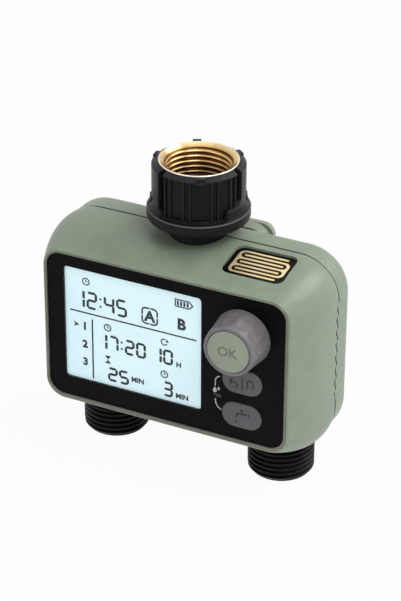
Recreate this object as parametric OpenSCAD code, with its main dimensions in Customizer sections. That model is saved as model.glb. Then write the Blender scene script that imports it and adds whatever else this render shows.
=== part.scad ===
// Two-outlet drip irrigation timer for a garden tap.
// Frame: millimetres, +Z up. The origin is the centre of the inlet mouth, on top of the brass rim.
// The display panel faces -Y. The housing splits on the plane y = 0, which holds the pipe axes.

/* [Display panel] */
// Width of the display window
window_w = 60.2; // [58:0.1:66]
// Height of the display window
window_h = 49.9; // [48:0.1:53]
// Corner radius of the display window
window_corner_r = 1.6; // [1:0.1:3]
// Black border left of the window
window_side = 7.35; // [6.5:0.05:8.5]
// Black border above the window
window_top = 5.35; // [5:0.05:7]
// Black border below the window
window_foot = 8.55; // [8:0.05:10]
// Width of the strip right of the window that holds the knob and the buttons
strip_w = 35.65; // [34.5:0.05:38]
// Corner radius of the black panel
panel_corner_r = 6.6; // [6:0.1:8]
// Height of the panel's centre above the centre of the split outline
panel_rise = 2.1; // [1.9:0.1:2.3]
// Thickness of the panel
panel_t = 1; // [0.8:0.1:1.2]
// Width of the grey frame and the lip round the panel
frame_w = 1.5; // [1.4:0.1:2.2]
// How far the grey bezel stands proud of the panel
bezel_proud = 0.8; // [0.5:0.1:1.2]

/* [Housing] */
// How far each side swings out from the lip to the split line
flare_side = 7.35; // [7:0.05:9]
// How far the top and the foot swing out from the lip, on average
flare_height = 7.7; // [7:0.1:9]
// Height of the lip's centre above the centre of the split outline
lip_rise = 1.6; // [0:0.1:3]
// Corner radius of the front lip
lip_corner_r = 8.1; // [7.8:0.1:10]
// Corner radius of the outline at the split line
body_corner_r = 17.4; // [16.5:0.1:19]
// How strongly the flare bulges: 1 is a straight cone, 2 a full curve
flare_power = 1.8; // [1.3:0.1:2.2]
// Depth of the front half, from the split line to its lip
front_depth = 30; // [29:0.5:34]
// Depth of the rear half, from the split line to its rear face
rear_depth = 12.8; // [12:0.2:14]
// Rounding of the rear edge
rear_round = 5.5; // [4:0.5:6]
// Wall thickness of both halves
wall = 2.6; // [2.2:0.1:2.8]

/* [Side grip] */
// Number of finger scallops on each side
grip_count = 8; // [6:1:8]
// Height of one scallop
grip_pitch = 5.6; // [5:0.1:5.8]
// Depth of a scallop at the split line
grip_depth = 0.55; // [0.3:0.05:0.7]
// Angle of the scallops to the split line's normal, which sets how far forward they reach
grip_lean = 5; // [3:0.5:6]
// Height of the row's middle above the centre of the split outline
grip_rise = 1.7; // [0:0.1:3]

/* [Controls] */
// Distance of the knob and the buttons from the right edge of the panel
controls_side = 17.85; // [17:0.05:18.5]
// Height of the knob's axis above the window's centre
knob_rise = 13.1; // [12.5:0.1:14]
// Radius of the push button in the knob
ok_r = 8.75; // [8:0.05:9.2]
// Width of the knob's rim round the push button, at its front face
knob_rim = 1.6; // [1.4:0.05:2]
// How much the knob widens from its front face to its base
knob_taper = 1.45; // [1:0.05:1.5]
// Height of the knob above the panel
knob_h = 13.3; // [12:0.1:15]
// Number of finger scoops round the knob
knob_flats = 12; // [10:1:14]
// Depth of the finger scoops
knob_scoop = 0.45; // [0.2:0.05:0.6]
// Direction that the knob is turned to
knob_turn = 24; // [-180:1:180]
// Width of each long button
button_w = 16.9; // [15:0.1:17.5]
// Height of each long button
button_h = 10.8; // [10:0.1:11]
// Depth of the upper button's centre below the window's centre
upper_button_drop = 7.1; // [6.6:0.1:7.4]
// Distance between the two long buttons
button_pitch = 15.3; // [14.5:0.1:15.8]
// How far the long buttons stand proud of the panel
button_proud = 0.6; // [0.4:0.1:1]
// Travel of all three push buttons
press_travel = 0.8; // [0.5:0.1:0.9]

/* [Water connections] */
// Height of the inlet mouth above the housing
inlet_h = 30.7; // [29.5:0.1:33]
// Inner radius of the inlet thread
inlet_bore_r = 12.35; // [12.15:0.05:12.65]
// Width of the brass rim from the thread's crest to its outer edge
rim_w = 3.45; // [3.2:0.05:3.9]
// Height of the brass rim that the collar is moulded round
rim_h = 1.6; // [1.2:0.1:2]
// Radius of the neck that the collar turns on
neck_r = 11.4; // [11.2:0.1:11.8]
// Distance of each outlet's axis from the side of the housing
outlet_side = 22.95; // [22.5:0.05:24]
// Outer radius of the outlet thread
thread_r = 13.495; // [13.495:0.1:13.795]
// Length of the outlet thread below the housing
thread_len = 16.3; // [14:0.1:20]

/* [Swivel collar] */
// Width of the collar's grip round the brass rim
collar_grip_w = 2.6; // [2.4:0.1:3.2]
// Width of the lower flange round the grip
collar_flange_w = 2; // [1.6:0.1:2.6]
// Height of the collar below the end of the neck
collar_skirt = 8.9; // [8.6:0.1:10]
// Direction that the collar is turned to
collar_turn = 28.8; // [-180:0.1:180]

/* [Rain sensor] */
// Width of the sensor plate
sensor_w = 25.6; // [24.5:0.1:26]
// Depth of the sensor plate
sensor_d = 17.6; // [17:0.1:18.2]
// Slope of the sensor plate
sensor_tilt = 8; // [6:0.5:9]
// Distance of the sensor's centre from the side of the housing
sensor_side = 28.1; // [27:0.05:29]
// Distance of the sensor's centre in front of the split line
sensor_y = 12.5; // [12:0.1:13]
// Depth of the sensor's face below the top of the housing
sensor_drop = 2.4; // [2.2:0.1:2.8]
// Gap between the sensor's metal tracks
track_gap = 1; // [0.8:0.05:1.2]

/* [Batteries] */
// Diameter of a cell
cell_d = 14.5; // [14.2:0.1:14.5]
// Length of a cell without its nub
cell_len = 49.5; // [48.5:0.1:49.8]
// Border of the battery box round the cells, above and below
box_border = 7.5; // [7.2:0.1:8]
// Border of the battery box beside the cells
box_side = 2.55; // [2.4:0.05:3]
// How far the battery box stands behind the housing
box_proud = 2.8; // [2.4:0.1:3.4]
// Thickness of the battery cover
cover_t = 4.1; // [3.8:0.1:5]

/* [Hidden] */
$fn = 72;

// Clearances: parts that slide or turn, parts that are assembled, and soft parts
run_gap = 0.05;
fit_gap = 0.1;
free_gap = 0.3;
// Overshoot of every cut
cut = 1;

// Outlines, from the window out to the split line
panel_w = window_side + window_w + strip_w;
panel_h = window_top + window_h + window_foot;
lip_w = panel_w + 2 * frame_w;
lip_h = panel_h + 2 * frame_w;
body_w = lip_w + 2 * flare_side;
body_h = lip_h + 2 * flare_height;
window_x = window_side + (window_w - panel_w) / 2;
controls_x = panel_w / 2 - controls_side;
sensor_x = body_w / 2 - sensor_side;
outlet_x = body_w / 2 - outlet_side;

// Levels of the housing
body_top = -inlet_h;
body_z = body_top - body_h / 2;
body_bottom = body_top - body_h;
lip_y = -front_depth;
lip_z = body_z + lip_rise;
panel_z = body_z + panel_rise;
window_z = panel_z + (window_foot - window_top) / 2;
knob_z = window_z + knob_rise;
upper_button_z = window_z - upper_button_drop;
lower_button_z = upper_button_z - button_pitch;

// Stack behind the panel, front faces first
lip_edge = 0.5;
bezel_w = lip_w - 2 * lip_edge;
bezel_h = lip_h - 2 * lip_edge;
bezel_corner_r = lip_corner_r - lip_edge;
panel_y = lip_y + 0.3;
bezel_front_y = panel_y - bezel_proud;
bezel_back_y = lip_y + 3;
ledge = 3;
ledge_back_y = bezel_back_y + 2.4;
tray_w = panel_w - 2 * ledge + 0.8;
tray_h = panel_h - 2 * ledge + 0.8;
lcd_y = panel_y + panel_t + fit_gap;
lcd_border = 2;
lcd_glass_t = 2.2;
board_y = ledge_back_y + 3;
board_t = 1.6;
board_w = panel_w + 0.8;
board_h = panel_h - 3.8;
board_screw_x = board_w / 2 - 2.5;
board_screw_z = board_h / 2 - 8;
post_r = 2.4;

// Knob, its push button and the encoder that both work
knob_face_r = ok_r + knob_rim;
knob_base_r = knob_face_r + knob_taper;
knob_wall = 1.8;
knob_skirt_gap = 0.2;
ok_recess = 3.5;
ok_t = 2.2;
ok_proud = 0.3;
shaft_r = 3.5;
shaft_bore_r = 2.1;
stem_r = 1.8;
shaft_hold = 5;
encoder_w = 13;
encoder_h = 4.6;
bushing_r = 4.4;
switch_r = 1.7;
switch_h = 2.9;
switch_w = 6;
switch_base_h = 2.1;

// Rain sensor: tracks at rows -3 to 3 either side of the middle
sensor_rows = 3;
track_pitch = (sensor_d - 4.16) / (2 * sensor_rows);
track_w = track_pitch - track_gap;
bus_w = 1.25;
track_border = 2.2;

// Swivel inlet
insert_len = 14.4;
inlet_thread_len = insert_len - 2;
rim_r = inlet_bore_r + rim_w;
insert_r = rim_r - 0.9;
washer_seat_r = inlet_bore_r + 0.85;
neck_top = -insert_len - 0.8;
collar_r = rim_r + collar_grip_w;
collar_flange_r = collar_r + collar_flange_w;
collar_top = -0.4;
collar_bottom = neck_top - collar_skirt;
collar_h = collar_top - collar_bottom;
bevel_foot = collar_top - 1.3;
collar_cavity_r = insert_r - 0.3;
collar_lip_t = 3.3;
collar_cavity_bottom = collar_bottom + collar_lip_t;
groove_d = 1;
retainer_h = 1.8;
neck_bore_r = neck_r - 2.4;
washer_t = 2.5;
washer_bottom = neck_top + fit_gap;
recess_depth = 1.3;
slot_w = 2.5;
slot_depth = 2.1;
slot_angle = 56.3;
lug_w = 3.8;
recess_top = bevel_foot - 0.3;
recess_bottom = collar_bottom + 4.9;
recess_step = 3.9;
wing_tab_w = 6;

// Valves below the swivel inlet
outlet_bottom = body_bottom - thread_len;
relief_r = thread_r - 0.4;
tube_r = 7;
tube_bore_r = 5;
arm_r = 6;
arm_bore_r = 4;
arm_y = -7;
solenoid_r = 9.8;
solenoid_h = 16;
solenoid_top = body_top - wall - 3.6;
chamber_top = solenoid_top - solenoid_h;
chamber_h = 18;
chamber_bottom = chamber_top - chamber_h;
chamber_r = 9.8;
chamber_bore_r = 7.8;
arm_z = chamber_top - chamber_h / 2;
seat_r = 3.6;
seat_top = chamber_bottom + 6;
spigot_r = 7.4;
spigot_len = 8;
outlet_bore_r = 9.4;
outlet_tube_r = 9.8;
outlet_flange_r = thread_r + 1.5;
outlet_flange_t = 2.5;
outlet_boss_r = thread_r + 2.1;
flange_rear_y = rear_depth - rear_round - fit_gap;
disc_t = 1.9;
plunger_r = 4;
plunger_top = solenoid_top - 7;
plunger_bottom = seat_top + fit_gap / 2 + disc_t + 0.05;
spring_wire = 0.6;
spring_r = 2.6;
spring_turns = 4.5;

// Battery compartment
cell_r = cell_d / 2;
cell_x = tube_r + cell_r + 0.35;
cell_y = cell_r + 0.65;
cell_nub_r = 2.7;
cell_nub_h = 1;
bay_wall = 1.2;
bay_r = cell_r + 0.25;
contact_t = 0.5;
contact_spring_h = 3;
contact_w = 8;
bay_len = cell_len + cell_nub_h + contact_spring_h + 2 * contact_t + 0.5;
box_h = bay_len + 2 * box_border;
box_w = 2 * (cell_x + cell_r + box_side);
box_z = body_top - box_h / 2;
bay_top = box_z + bay_len / 2 - 2.3;
bay_bottom = bay_top - bay_len;
box_rear_y = rear_depth + box_proud;
mouth_w = box_w - 3.4;
mouth_h = box_h - 7.5;
mouth_r = 4;
mouth_depth = 2.6;
cover_edge = 0.7;
cover_w = box_w + 2 * cover_edge;
cover_h = box_h + cover_edge;
cover_z = box_z - cover_edge / 2 + 0.1;
cover_front_y = box_rear_y + fit_gap;
cover_rear_y = cover_front_y + cover_t;
cover_wall = 1.8;
spigot_gap = 1.5;
seal_t = 1.1;

// Fasteners
screw_r = 1.5;
screw_head_r = 2.7;
screw_head_h = 1.8;
boss_r = 3.8;
boss_x = body_w / 2 - 7.45;
boss_top_z = body_top - 11.3;
boss_bottom_z = body_bottom + 11.8;
boss_front_len = 12;
board_screw_r = 1.1;

// ---------- outlines ----------

// Rectangle with round corners, centred on the origin
module rounded(w, h, r) {
  square([w - 2 * r, h], center = true);
  square([w, h - 2 * r], center = true);
  for (sx = [-1, 1], sy = [-1, 1])
    translate([sx * (w / 2 - r), sy * (h / 2 - r)]) circle(r);
}

// Slot shape with fully round ends
module obround(w, h) {
  square([w - h, h], center = true);
  for (s = [-1, 1])
    translate([s * (w - h) / 2, 0]) circle(h / 2);
}

// Stands a flat outline up in the XZ plane, from y0 back to y1
module stand(y0, y1, x = 0, z = 0) {
  translate([x, y1, z]) rotate([90, 0, 0]) linear_extrude(y1 - y0) children();
}

// Turned shape whose axis runs forward from the panel, at the given place
module forward(x, z, y = panel_y) {
  translate([x, y, z]) rotate([90, 0, 0]) children();
}

module both_sides() {
  for (s = [-1, 1])
    translate([s * outlet_x, 0, 0]) children();
}

module tube(r, bore, z0, z1) {
  translate([0, 0, z0])
    difference() {
      cylinder(r = r, h = z1 - z0);
      translate([0, 0, -cut]) cylinder(r = bore, h = z1 - z0 + 2 * cut);
    }
}

// ---------- lofted housing ----------

// Points of one quarter round, drawn from angle a
function quarter(x, z, r, a, y) = [for (k = [0:corner_steps]) let (t = a + 90 * k / corner_steps)
  [x + r * cos(t), y, z + r * sin(t)]];
corner_steps = 12;

// One section of a loft: a round-cornered rectangle at depth y, centred on height cz
function section(w, h, cz, r, y) = concat(
  quarter(w / 2 - r, cz + h / 2 - r, r, 0, y),
  quarter(r - w / 2, cz + h / 2 - r, r, 90, y),
  quarter(r - w / 2, cz - h / 2 + r, r, 180, y),
  quarter(w / 2 - r, cz - h / 2 + r, r, 270, y));

// Skin over a chain of sections: capped at both ends, or closed into a ring
module loft(sections, ring = false) {
  n = len(sections[0]);
  m = len(sections);
  sides = [for (i = [0:ring ? m - 1 : m - 2], k = [0:n - 1]) let (
      j = (i + 1) % m, q = (k + 1) % n)
    each [[i * n + k, i * n + q, j * n + q], [i * n + k, j * n + q, j * n + k]]];
  first = [for (k = [n - 1:-1:0]) k];
  last = [for (k = [0:n - 1]) (m - 1) * n + k];
  polyhedron([for (s = sections) each s], concat(sides, ring ? [] : [first, last]), convexity = 6);
}

// Share of the flare at u, which runs from 0 at the lip to 1 at the split line
function flare(u) = 1 - pow(1 - u, flare_power);
function corner_growth(u) = 1 - pow(1 - u, 0.65);
function blend(a, b, t) = a + (b - a) * t;

function front_section(u, inset) = section(
  blend(lip_w, body_w, flare(u)) - 2 * inset,
  blend(lip_h, body_h, flare(u)) - 2 * inset,
  blend(lip_z, body_z, flare(u)),
  max(blend(lip_corner_r, body_corner_r, corner_growth(u)) - inset, 1),
  lip_y + u * front_depth);

// Section of the rear half, a degrees round its edge
function rear_section(a, inset) = let (drop = rear_round * (1 - cos(a)) + inset) section(
  body_w - 2 * drop, body_h - 2 * drop, body_z, body_corner_r - drop,
  rear_depth - rear_round + rear_round * sin(a));

// Front half as one closed skin: outside, split face, inside, ledge, bezel seat, lip
module front_skin() {
  u0 = (ledge_back_y - lip_y) / front_depth;
  tray_r = panel_corner_r - ledge + 1;
  loft(concat(
    [for (u = [0, 0.04, 0.1, 0.17, 0.25, 0.34, 0.43, 0.52, 0.61, 0.7, 0.79, 0.88, 1]) front_section(u, 0)],
    [for (k = [6:-1:0]) front_section(u0 + (1 - u0) * k / 6, wall)],
    [for (y = [ledge_back_y, bezel_back_y])
      section(tray_w + 2 * fit_gap, tray_h + 2 * fit_gap, panel_z, tray_r, y)],
    [for (y = [bezel_back_y, lip_y]) section(bezel_w, bezel_h, lip_z, bezel_corner_r, y)]),
    ring = true);
}

// Rear half as one closed skin, from the rear face round the split face to the inside
module rear_skin() {
  flat = rear_section(0, 0);
  inner = rear_section(0, wall);
  loft(concat(
    [for (p = [rear_section(60, wall)]) [for (q = p) [q[0], rear_depth - wall, q[2]]]],
    [inner, [for (q = inner) [q[0], 0, q[2]]], [for (q = flat) [q[0], 0, q[2]]]],
    [for (a = [0:11.25:90]) rear_section(a, 0)]));
}

// Finger scallops on both sides, which fade out towards the front
module grip_scallops() {
  r = grip_pitch * grip_pitch / (8 * grip_depth);
  for (s = [-1, 1], k = [0:grip_count - 1])
    translate([s * (body_w / 2 - grip_depth), 0, body_z + grip_rise + (k + 0.5 - grip_count / 2) * grip_pitch])
      rotate([0, 0, -s * grip_lean])
        translate([s * r, 0, 0]) rotate([90, 0, 0]) cylinder(r = r, h = 2 * front_depth, center = true);
}

// Holes that the neck and the two outlets pass through
module pipe_holes() {
  translate([0, 0, body_top - wall - 4]) cylinder(r = neck_r + free_gap, h = inlet_h);
  both_sides()
    translate([0, 0, body_bottom - cut]) cylinder(r = thread_r + free_gap, h = cut + wall + 4);
}

// Repeats at the four housing screws
module at_screws() {
  for (s = [-1, 1], z = [boss_top_z, boss_bottom_z])
    translate([s * boss_x, 0, z]) rotate([-90, 0, 0]) children();
}

// Repeats at the four screws of the circuit board
module at_board_screws() {
  for (sx = [-1, 1], sz = [-1, 1])
    translate([sx * board_screw_x, 0, panel_z + sz * board_screw_z])
      rotate([-90, 0, 0]) children();
}

// Places something on the sloping face of the rain sensor
module on_sensor() {
  translate([sensor_x, -sensor_y, body_top - sensor_drop]) rotate([sensor_tilt, 0, 0]) children();
}

module front_housing() {
  color("#8e9c87")
    difference() {
      union() {
        front_skin();
        at_screws()
          translate([0, 0, -boss_front_len]) cylinder(r = boss_r, h = boss_front_len);
        at_board_screws()
          translate([0, 0, ledge_back_y - 1]) cylinder(r = post_r, h = board_y - ledge_back_y + 1);
        on_sensor()
          translate([0, 0, -2.9]) linear_extrude(2) rounded(sensor_w + 3.6, sensor_d + 3.2, 4);
      }
      grip_scallops();
      on_sensor()
        translate([0, 0, -1.3]) linear_extrude(8) rounded(sensor_w + 0.4, sensor_d + 0.4, 3.5);
      pipe_holes();
      at_screws()
        translate([0, 0, -boss_front_len + 2]) cylinder(r = screw_r - 0.2, h = boss_front_len);
      at_board_screws()
        translate([0, 0, board_y - 3.5]) cylinder(r = board_screw_r - 0.1, h = 4);
    }
}

// Trough for one cell, with its wall when grown by the wall's thickness
module cell_troughs(grow) {
  for (s = [-1, 1])
    translate([s * cell_x, cell_y, bay_bottom - grow])
      cylinder(r = bay_r + grow, h = bay_len + 2 * grow);
}

// Bulges that carry the two outlets past the rear face
module outlet_bosses() {
  r = outlet_boss_r;
  intersection() {
    both_sides()
      translate([0, 0, body_bottom])
        rotate_extrude()
          polygon([[0, 1], [r - 1, 0], [r - 0.3, 0.3], [r, 1], [r, 7], [r - 0.4, 9], [r - 2.6, 13.5],
            [0, 13.5]]);
    translate([-body_w / 2, rear_depth - wall, body_bottom]) cube([body_w, 2 * wall + 2, body_h]);
  }
}

module battery_bay_walls() {
  cell_troughs(bay_wall);
  translate([-cell_x, tube_r + bay_wall, bay_bottom - bay_wall])
    cube([2 * cell_x, rear_depth - tube_r - bay_wall, bay_len + 2 * bay_wall]);
  stand(rear_depth - wall, box_rear_y, 0, box_z) rounded(box_w, box_h, 7);
}

module battery_bay_space() {
  cell_troughs(0);
  for (s = [-1, 1])
    translate([s * cell_x - bay_r, cell_y, bay_bottom]) cube([2 * bay_r, box_rear_y, bay_len]);
  translate([-cell_x, tube_r + 2 * bay_wall, bay_bottom]) cube([2 * cell_x, box_rear_y, bay_len]);
  stand(box_rear_y - mouth_depth, box_rear_y + cut, 0, box_z) rounded(mouth_w, mouth_h, mouth_r);
}

module rear_housing() {
  color("#8e9c87")
    difference() {
      union() {
        rear_skin();
        at_screws()
          cylinder(r = boss_r, h = rear_depth - wall / 2);
        outlet_bosses();
        battery_bay_walls();
      }
      battery_bay_space();
      grip_scallops();
      pipe_holes();
      seal_groove(0.05);
      at_screws() {
        translate([0, 0, -cut]) cylinder(r = screw_r + 0.2, h = rear_depth + 2 * cut);
        translate([0, 0, rear_depth - screw_head_h - 2]) cylinder(r = screw_head_r + 0.3, h = 6);
      }
    }
}

// Band that the housing gasket fills, set in from the split outline
module seal_groove(grow) {
  stand(-cut, 1 + grow, 0, body_z)
    difference() {
      rounded(body_w - 2.4 + 2 * grow, body_h - 2.4 + 2 * grow, body_corner_r - 1.2 + grow);
      rounded(body_w - 4.2 - 2 * grow, body_h - 4.2 - 2 * grow, body_corner_r - 2.1 - grow);
    }
}

module housing_seal() {
  color("#26282a")
    difference() {
      intersection() {
        seal_groove(0);
        translate([-body_w / 2, 0.05, body_bottom]) cube([body_w, 0.9, body_h]);
      }
      cylinder(r = neck_r + 1, h = 4 * inlet_h, center = true);
      both_sides()
        translate([0, 0, body_bottom - cut]) cylinder(r = outlet_flange_r + 0.5, h = wall + 6);
    }
}

module housing_screws() {
  seat = rear_depth - screw_head_h - 2 + fit_gap;
  color("silver")
    at_screws()
      difference() {
        union() {
          translate([0, 0, -boss_front_len + 3]) cylinder(r = screw_r - 0.25, h = boss_front_len);
          translate([0, 0, 0.05]) cylinder(r = screw_r, h = seat + 0.05);
          translate([0, 0, seat]) cylinder(r = screw_head_r, h = screw_head_h);
        }
        translate([0, 0, seat + 0.7]) cylinder(r = 1.2, h = screw_head_h, $fn = 6);
      }
}

// ---------- display panel ----------

module front_bezel() {
  color("#65635d")
    difference() {
      stand(bezel_front_y, bezel_back_y - fit_gap / 2, 0, lip_z)
        rounded(bezel_w - fit_gap, bezel_h - fit_gap, bezel_corner_r);
      stand(bezel_front_y - cut, panel_y + panel_t, 0, panel_z)
        rounded(panel_w + fit_gap, panel_h + fit_gap, panel_corner_r);
      stand(panel_y, bezel_back_y + cut, 0, panel_z)
        rounded(tray_w, tray_h, panel_corner_r - ledge + 1);
    }
}

// Openings for the buttons, grown by a clearance
module button_holes(grow) {
  for (z = [upper_button_z, lower_button_z])
    translate([controls_x, z]) obround(button_w + 2 * grow, button_h + 2 * grow);
}

module front_panel() {
  color("#151517")
    stand(panel_y, panel_y + panel_t)
      difference() {
        translate([0, panel_z]) rounded(panel_w, panel_h, panel_corner_r);
        translate([window_x, window_z]) rounded(window_w, window_h, window_corner_r);
        translate([controls_x, knob_z]) circle(bushing_r + free_gap);
        button_holes(0.2);
      }
}

module display_window() {
  color("#d9f2f8", 0.4)
    stand(panel_y + 0.1, panel_y + panel_t, window_x, window_z)
      rounded(window_w - fit_gap, window_h - fit_gap, window_corner_r);
}

module lcd_module() {
  color("#c8dfe4") {
    stand(lcd_y, lcd_y + lcd_glass_t, window_x, window_z)
      rounded(window_w + 2 * lcd_border, window_h + 2 * lcd_border, 1);
    stand(lcd_y + lcd_glass_t - 0.01, board_y - fit_gap, window_x, window_z)
      rounded(window_w + 2 * lcd_border - 3, window_h + 2 * lcd_border - 3, 1);
  }
}

module main_board() {
  color("#1d5c38")
    difference() {
      stand(board_y, board_y + board_t, 0, panel_z) rounded(board_w, board_h, 3);
      at_board_screws()
        translate([0, 0, board_y - cut]) cylinder(r = board_screw_r + 0.2, h = board_t + 2 * cut);
    }
}

module board_screws() {
  color("silver")
    at_board_screws() {
      translate([0, 0, board_y - 3]) cylinder(r = board_screw_r - 0.15, h = board_t + 3.2);
      translate([0, 0, board_y + board_t + 0.05]) cylinder(r = 2, h = 1.4);
    }
}

// ---------- knob and buttons ----------

module encoder_body() {
  back = panel_y - board_y;
  color("#3a3d40")
    forward(controls_x, knob_z)
      difference() {
        union() {
          translate([-encoder_w / 2, -encoder_w / 2, back]) cube([encoder_w, encoder_w, encoder_h]);
          translate([0, 0, back + encoder_h - 0.5]) cylinder(r = bushing_r, h = -back - encoder_h + 0.3);
        }
        translate([0, 0, back + 2.2]) cylinder(r = shaft_r + run_gap, h = knob_h);
        translate([0, 0, back + 1]) cylinder(r = shaft_bore_r, h = knob_h);
      }
}

module encoder_shaft() {
  bottom = panel_y - board_y + 2.4;
  color("silver")
    forward(controls_x, knob_z)
      tube(shaft_r, shaft_bore_r, bottom, knob_h - ok_recess - knob_wall - fit_gap);
}

// Ring of the knob's skin at height z: radius r, with finger scoops d deep between sharp ridges
function knob_ring(z, r, d) = [for (k = [0:8 * knob_flats - 1]) let (
    f = (k % 8) / 8, q = r - 4 * d * f * (1 - f), t = 45 * k / knob_flats + knob_turn)
  [q * cos(t), q * sin(t), z]];

// Tapered outside of the knob, from its chamfered face down to its round foot
module knob_outside() {
  taper = (knob_base_r - knob_face_r) / knob_h;
  edge = knob_h - 0.5;
  loft(concat(
    [knob_ring(knob_h, knob_face_r - 0.5, 0), knob_ring(knob_h - 0.15, knob_face_r - 0.15, 0)],
    [for (row = [[edge, 0], [edge - 0.9, 0], [edge - 1.3, 0.3], [edge - 2, 0.7], [edge - 3.2, 1],
        [edge - 5.5, 1], [edge - 8, 0.85], [3, 0.6], [1.9, 0.3], [1.1, 0], [0.6, 0]])
      knob_ring(row[0], knob_face_r + taper * (knob_h - row[0]), knob_scoop * row[1])],
    [knob_ring(knob_skirt_gap, knob_base_r - 0.3, 0)]));
}

module control_knob() {
  web = knob_h - ok_recess - knob_wall;
  color("#7d7b7e")
    forward(controls_x, knob_z)
      difference() {
        knob_outside();
        translate([0, 0, knob_h - ok_recess]) cylinder(r = ok_r + 0.2, h = ok_recess + cut);
        translate([0, 0, -cut]) cylinder(r = shaft_r + fit_gap / 2, h = web + cut);
        translate([0, 0, web - cut]) cylinder(r = stem_r + 0.3, h = knob_wall + 2 * cut);
        tube(knob_face_r - knob_wall, shaft_r + 1.8, -cut, web - 0.8);
      }
}

module ok_button() {
  face = knob_h + ok_proud;
  stem_end = panel_y - board_y + 1.2 + press_travel;
  color("#9ea594")
    forward(controls_x, knob_z) {
      rotate_extrude()
        polygon([[0, face - ok_t], [ok_r, face - ok_t], [ok_r, face - 0.5], [ok_r - 0.15, face - 0.15],
          [ok_r - 0.5, face], [0, face]]);
      translate([0, 0, stem_end]) cylinder(r = stem_r, h = face - ok_t - stem_end + 0.1);
    }
}

// Button cap with the flange that keeps it behind the panel and the stem over its switch
module long_button(z) {
  flange_y = panel_y + panel_t + 0.15;
  stem_y = board_y - switch_h - press_travel - fit_gap;
  color("#5c5a5e") {
    stand(panel_y - button_proud + 0.3, flange_y + 0.1, controls_x, z) obround(button_w, button_h);
    stand(panel_y - button_proud, panel_y - button_proud + 0.4, controls_x, z)
      obround(button_w - 0.5, button_h - 0.5);
    stand(flange_y, flange_y + 0.9, controls_x, z) obround(button_w + 1.4, button_h + 1.4);
    stand(flange_y, stem_y, controls_x, z) circle(2.2);
  }
}

module back_lock_button() {
  long_button(upper_button_z);
}

module manual_button() {
  long_button(lower_button_z);
}

module button_switches() {
  color("#2b2d30")
    for (z = [upper_button_z, lower_button_z]) {
      stand(board_y - switch_base_h, board_y, controls_x, z) square(switch_w, center = true);
      stand(board_y - switch_h, board_y - switch_base_h + 0.1, controls_x, z) circle(switch_r);
    }
}

// ---------- rain sensor ----------

module rain_sensor_plate() {
  color("#101012")
    on_sensor()
      translate([0, 0, -1.2]) linear_extrude(1.2) rounded(sensor_w, sensor_d, 3.3);
}

// One comb of tracks that hangs from a bus on the left, with lines at the given rows and round
// bays in the bus for the ends of the other comb's lines
module comb(rows, other_rows, reach) {
  half = sensor_rows * track_pitch + track_w / 2;
  bay_r = track_w / 2 + track_gap;
  free_end = reach - bus_w - bay_r;
  intersection() {
    union() {
      for (k = rows) {
        translate([-reach, k * track_pitch - track_w / 2]) square([reach + free_end, track_w]);
        translate([free_end, k * track_pitch]) circle(track_w / 2);
      }
      difference() {
        translate([-reach, -half]) square([bus_w + bay_r, 2 * half]);
        for (k = other_rows)
          translate([-reach + bus_w + bay_r, k * track_pitch]) circle(bay_r);
      }
    }
    translate([10, 0]) rounded(2 * reach + 20, 2 * half, 2.5);
  }
}

module rain_sensor_tracks() {
  reach = sensor_w / 2 - track_border;
  outer_rows = [-3, -1, 1, 3];
  inner_rows = [-2, 0, 2];
  color("#f0d9a0")
    on_sensor()
      linear_extrude(0.15) {
        comb(outer_rows, inner_rows, reach);
        rotate(180)
          intersection() {
            comb(inner_rows, outer_rows, reach);
            square([2 * sensor_w, 2 * (2 * track_pitch + track_w / 2)], center = true);
          }
      }
}

// ---------- swivel inlet ----------

// Turned body: bevel round the brass rim, straight grip, flare, bead and flange, with the
// cavity that turns on the neck
module collar_body() {
  bottom = collar_bottom;
  flange = collar_flange_r;
  rotate_extrude()
    polygon([[insert_r + fit_gap / 2, -rim_h], [rim_r + fit_gap / 2, -rim_h],
      [rim_r + fit_gap / 2, collar_top], [rim_r + 0.4, collar_top], [collar_r - 0.4, bevel_foot + 0.2],
      [collar_r - 0.1, bevel_foot], [collar_r, bevel_foot - 0.25], [collar_r, bottom + 8.9],
      [collar_r + 0.15, bottom + 7.9], [flange - 1.2, bottom + 5.9], [flange - 0.45, bottom + 4.5],
      [flange - 0.1, bottom + 4.3], [flange - 0.1, bottom + 4], [flange - 0.3, bottom + 3.7],
      [flange, bottom + 1.8], [flange - 0.2, bottom + 0.4], [flange - 0.6, bottom],
      [neck_r + free_gap, bottom], [neck_r + free_gap, collar_cavity_bottom],
      [collar_cavity_r, collar_cavity_bottom], [collar_cavity_r, -insert_len - fit_gap],
      [insert_r + fit_gap / 2, -insert_len - fit_gap]]);
}

// Outline of a recess, whose foot steps up on its right
module recess_outline(w, h) {
  offset(r = -1)
    offset(r = 1) {
      translate([-w / 2, 0]) rounded_from_left(0.72 * w, h);
      translate([0, recess_step / 2]) rounded(w, h - recess_step, 3);
    }
  translate([0, h / 4]) rounded(w, h / 2, 0.6);
}

// Left part of the outline: rounded at the foot, w wide from its left edge
module rounded_from_left(w, h) {
  translate([w / 2, 0]) rounded(w, h, 3.5);
}

// Recess that the ribs stand in, cut down to a round floor
module collar_recess(half_angle) {
  w = 2 * collar_r * sin(half_angle);
  h = recess_top - recess_bottom;
  difference() {
    translate([0, 0, (recess_top + recess_bottom) / 2])
      rotate([90, 0, 0])
        linear_extrude(2 * collar_flange_r) recess_outline(w, h);
    cylinder(r = collar_r - recess_depth, h = 4 * collar_h, center = true);
  }
}

module collar_rib(angle, foot) {
  rotate([0, 0, angle])
    translate([-0.45, -(collar_r - 0.4), foot])
      cube([0.9, 1.6, recess_top - foot + 0.2]);
}

// Deep groove beside each wing, open at the top
module collar_slot(angle) {
  rotate([0, 0, angle])
    translate([-slot_w / 2, -collar_r - 3, recess_bottom + 1.6 + (sin(2 * angle) > 0 ? recess_step : 0)])
      cube([slot_w, 3 + slot_depth, collar_h]);
}

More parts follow.
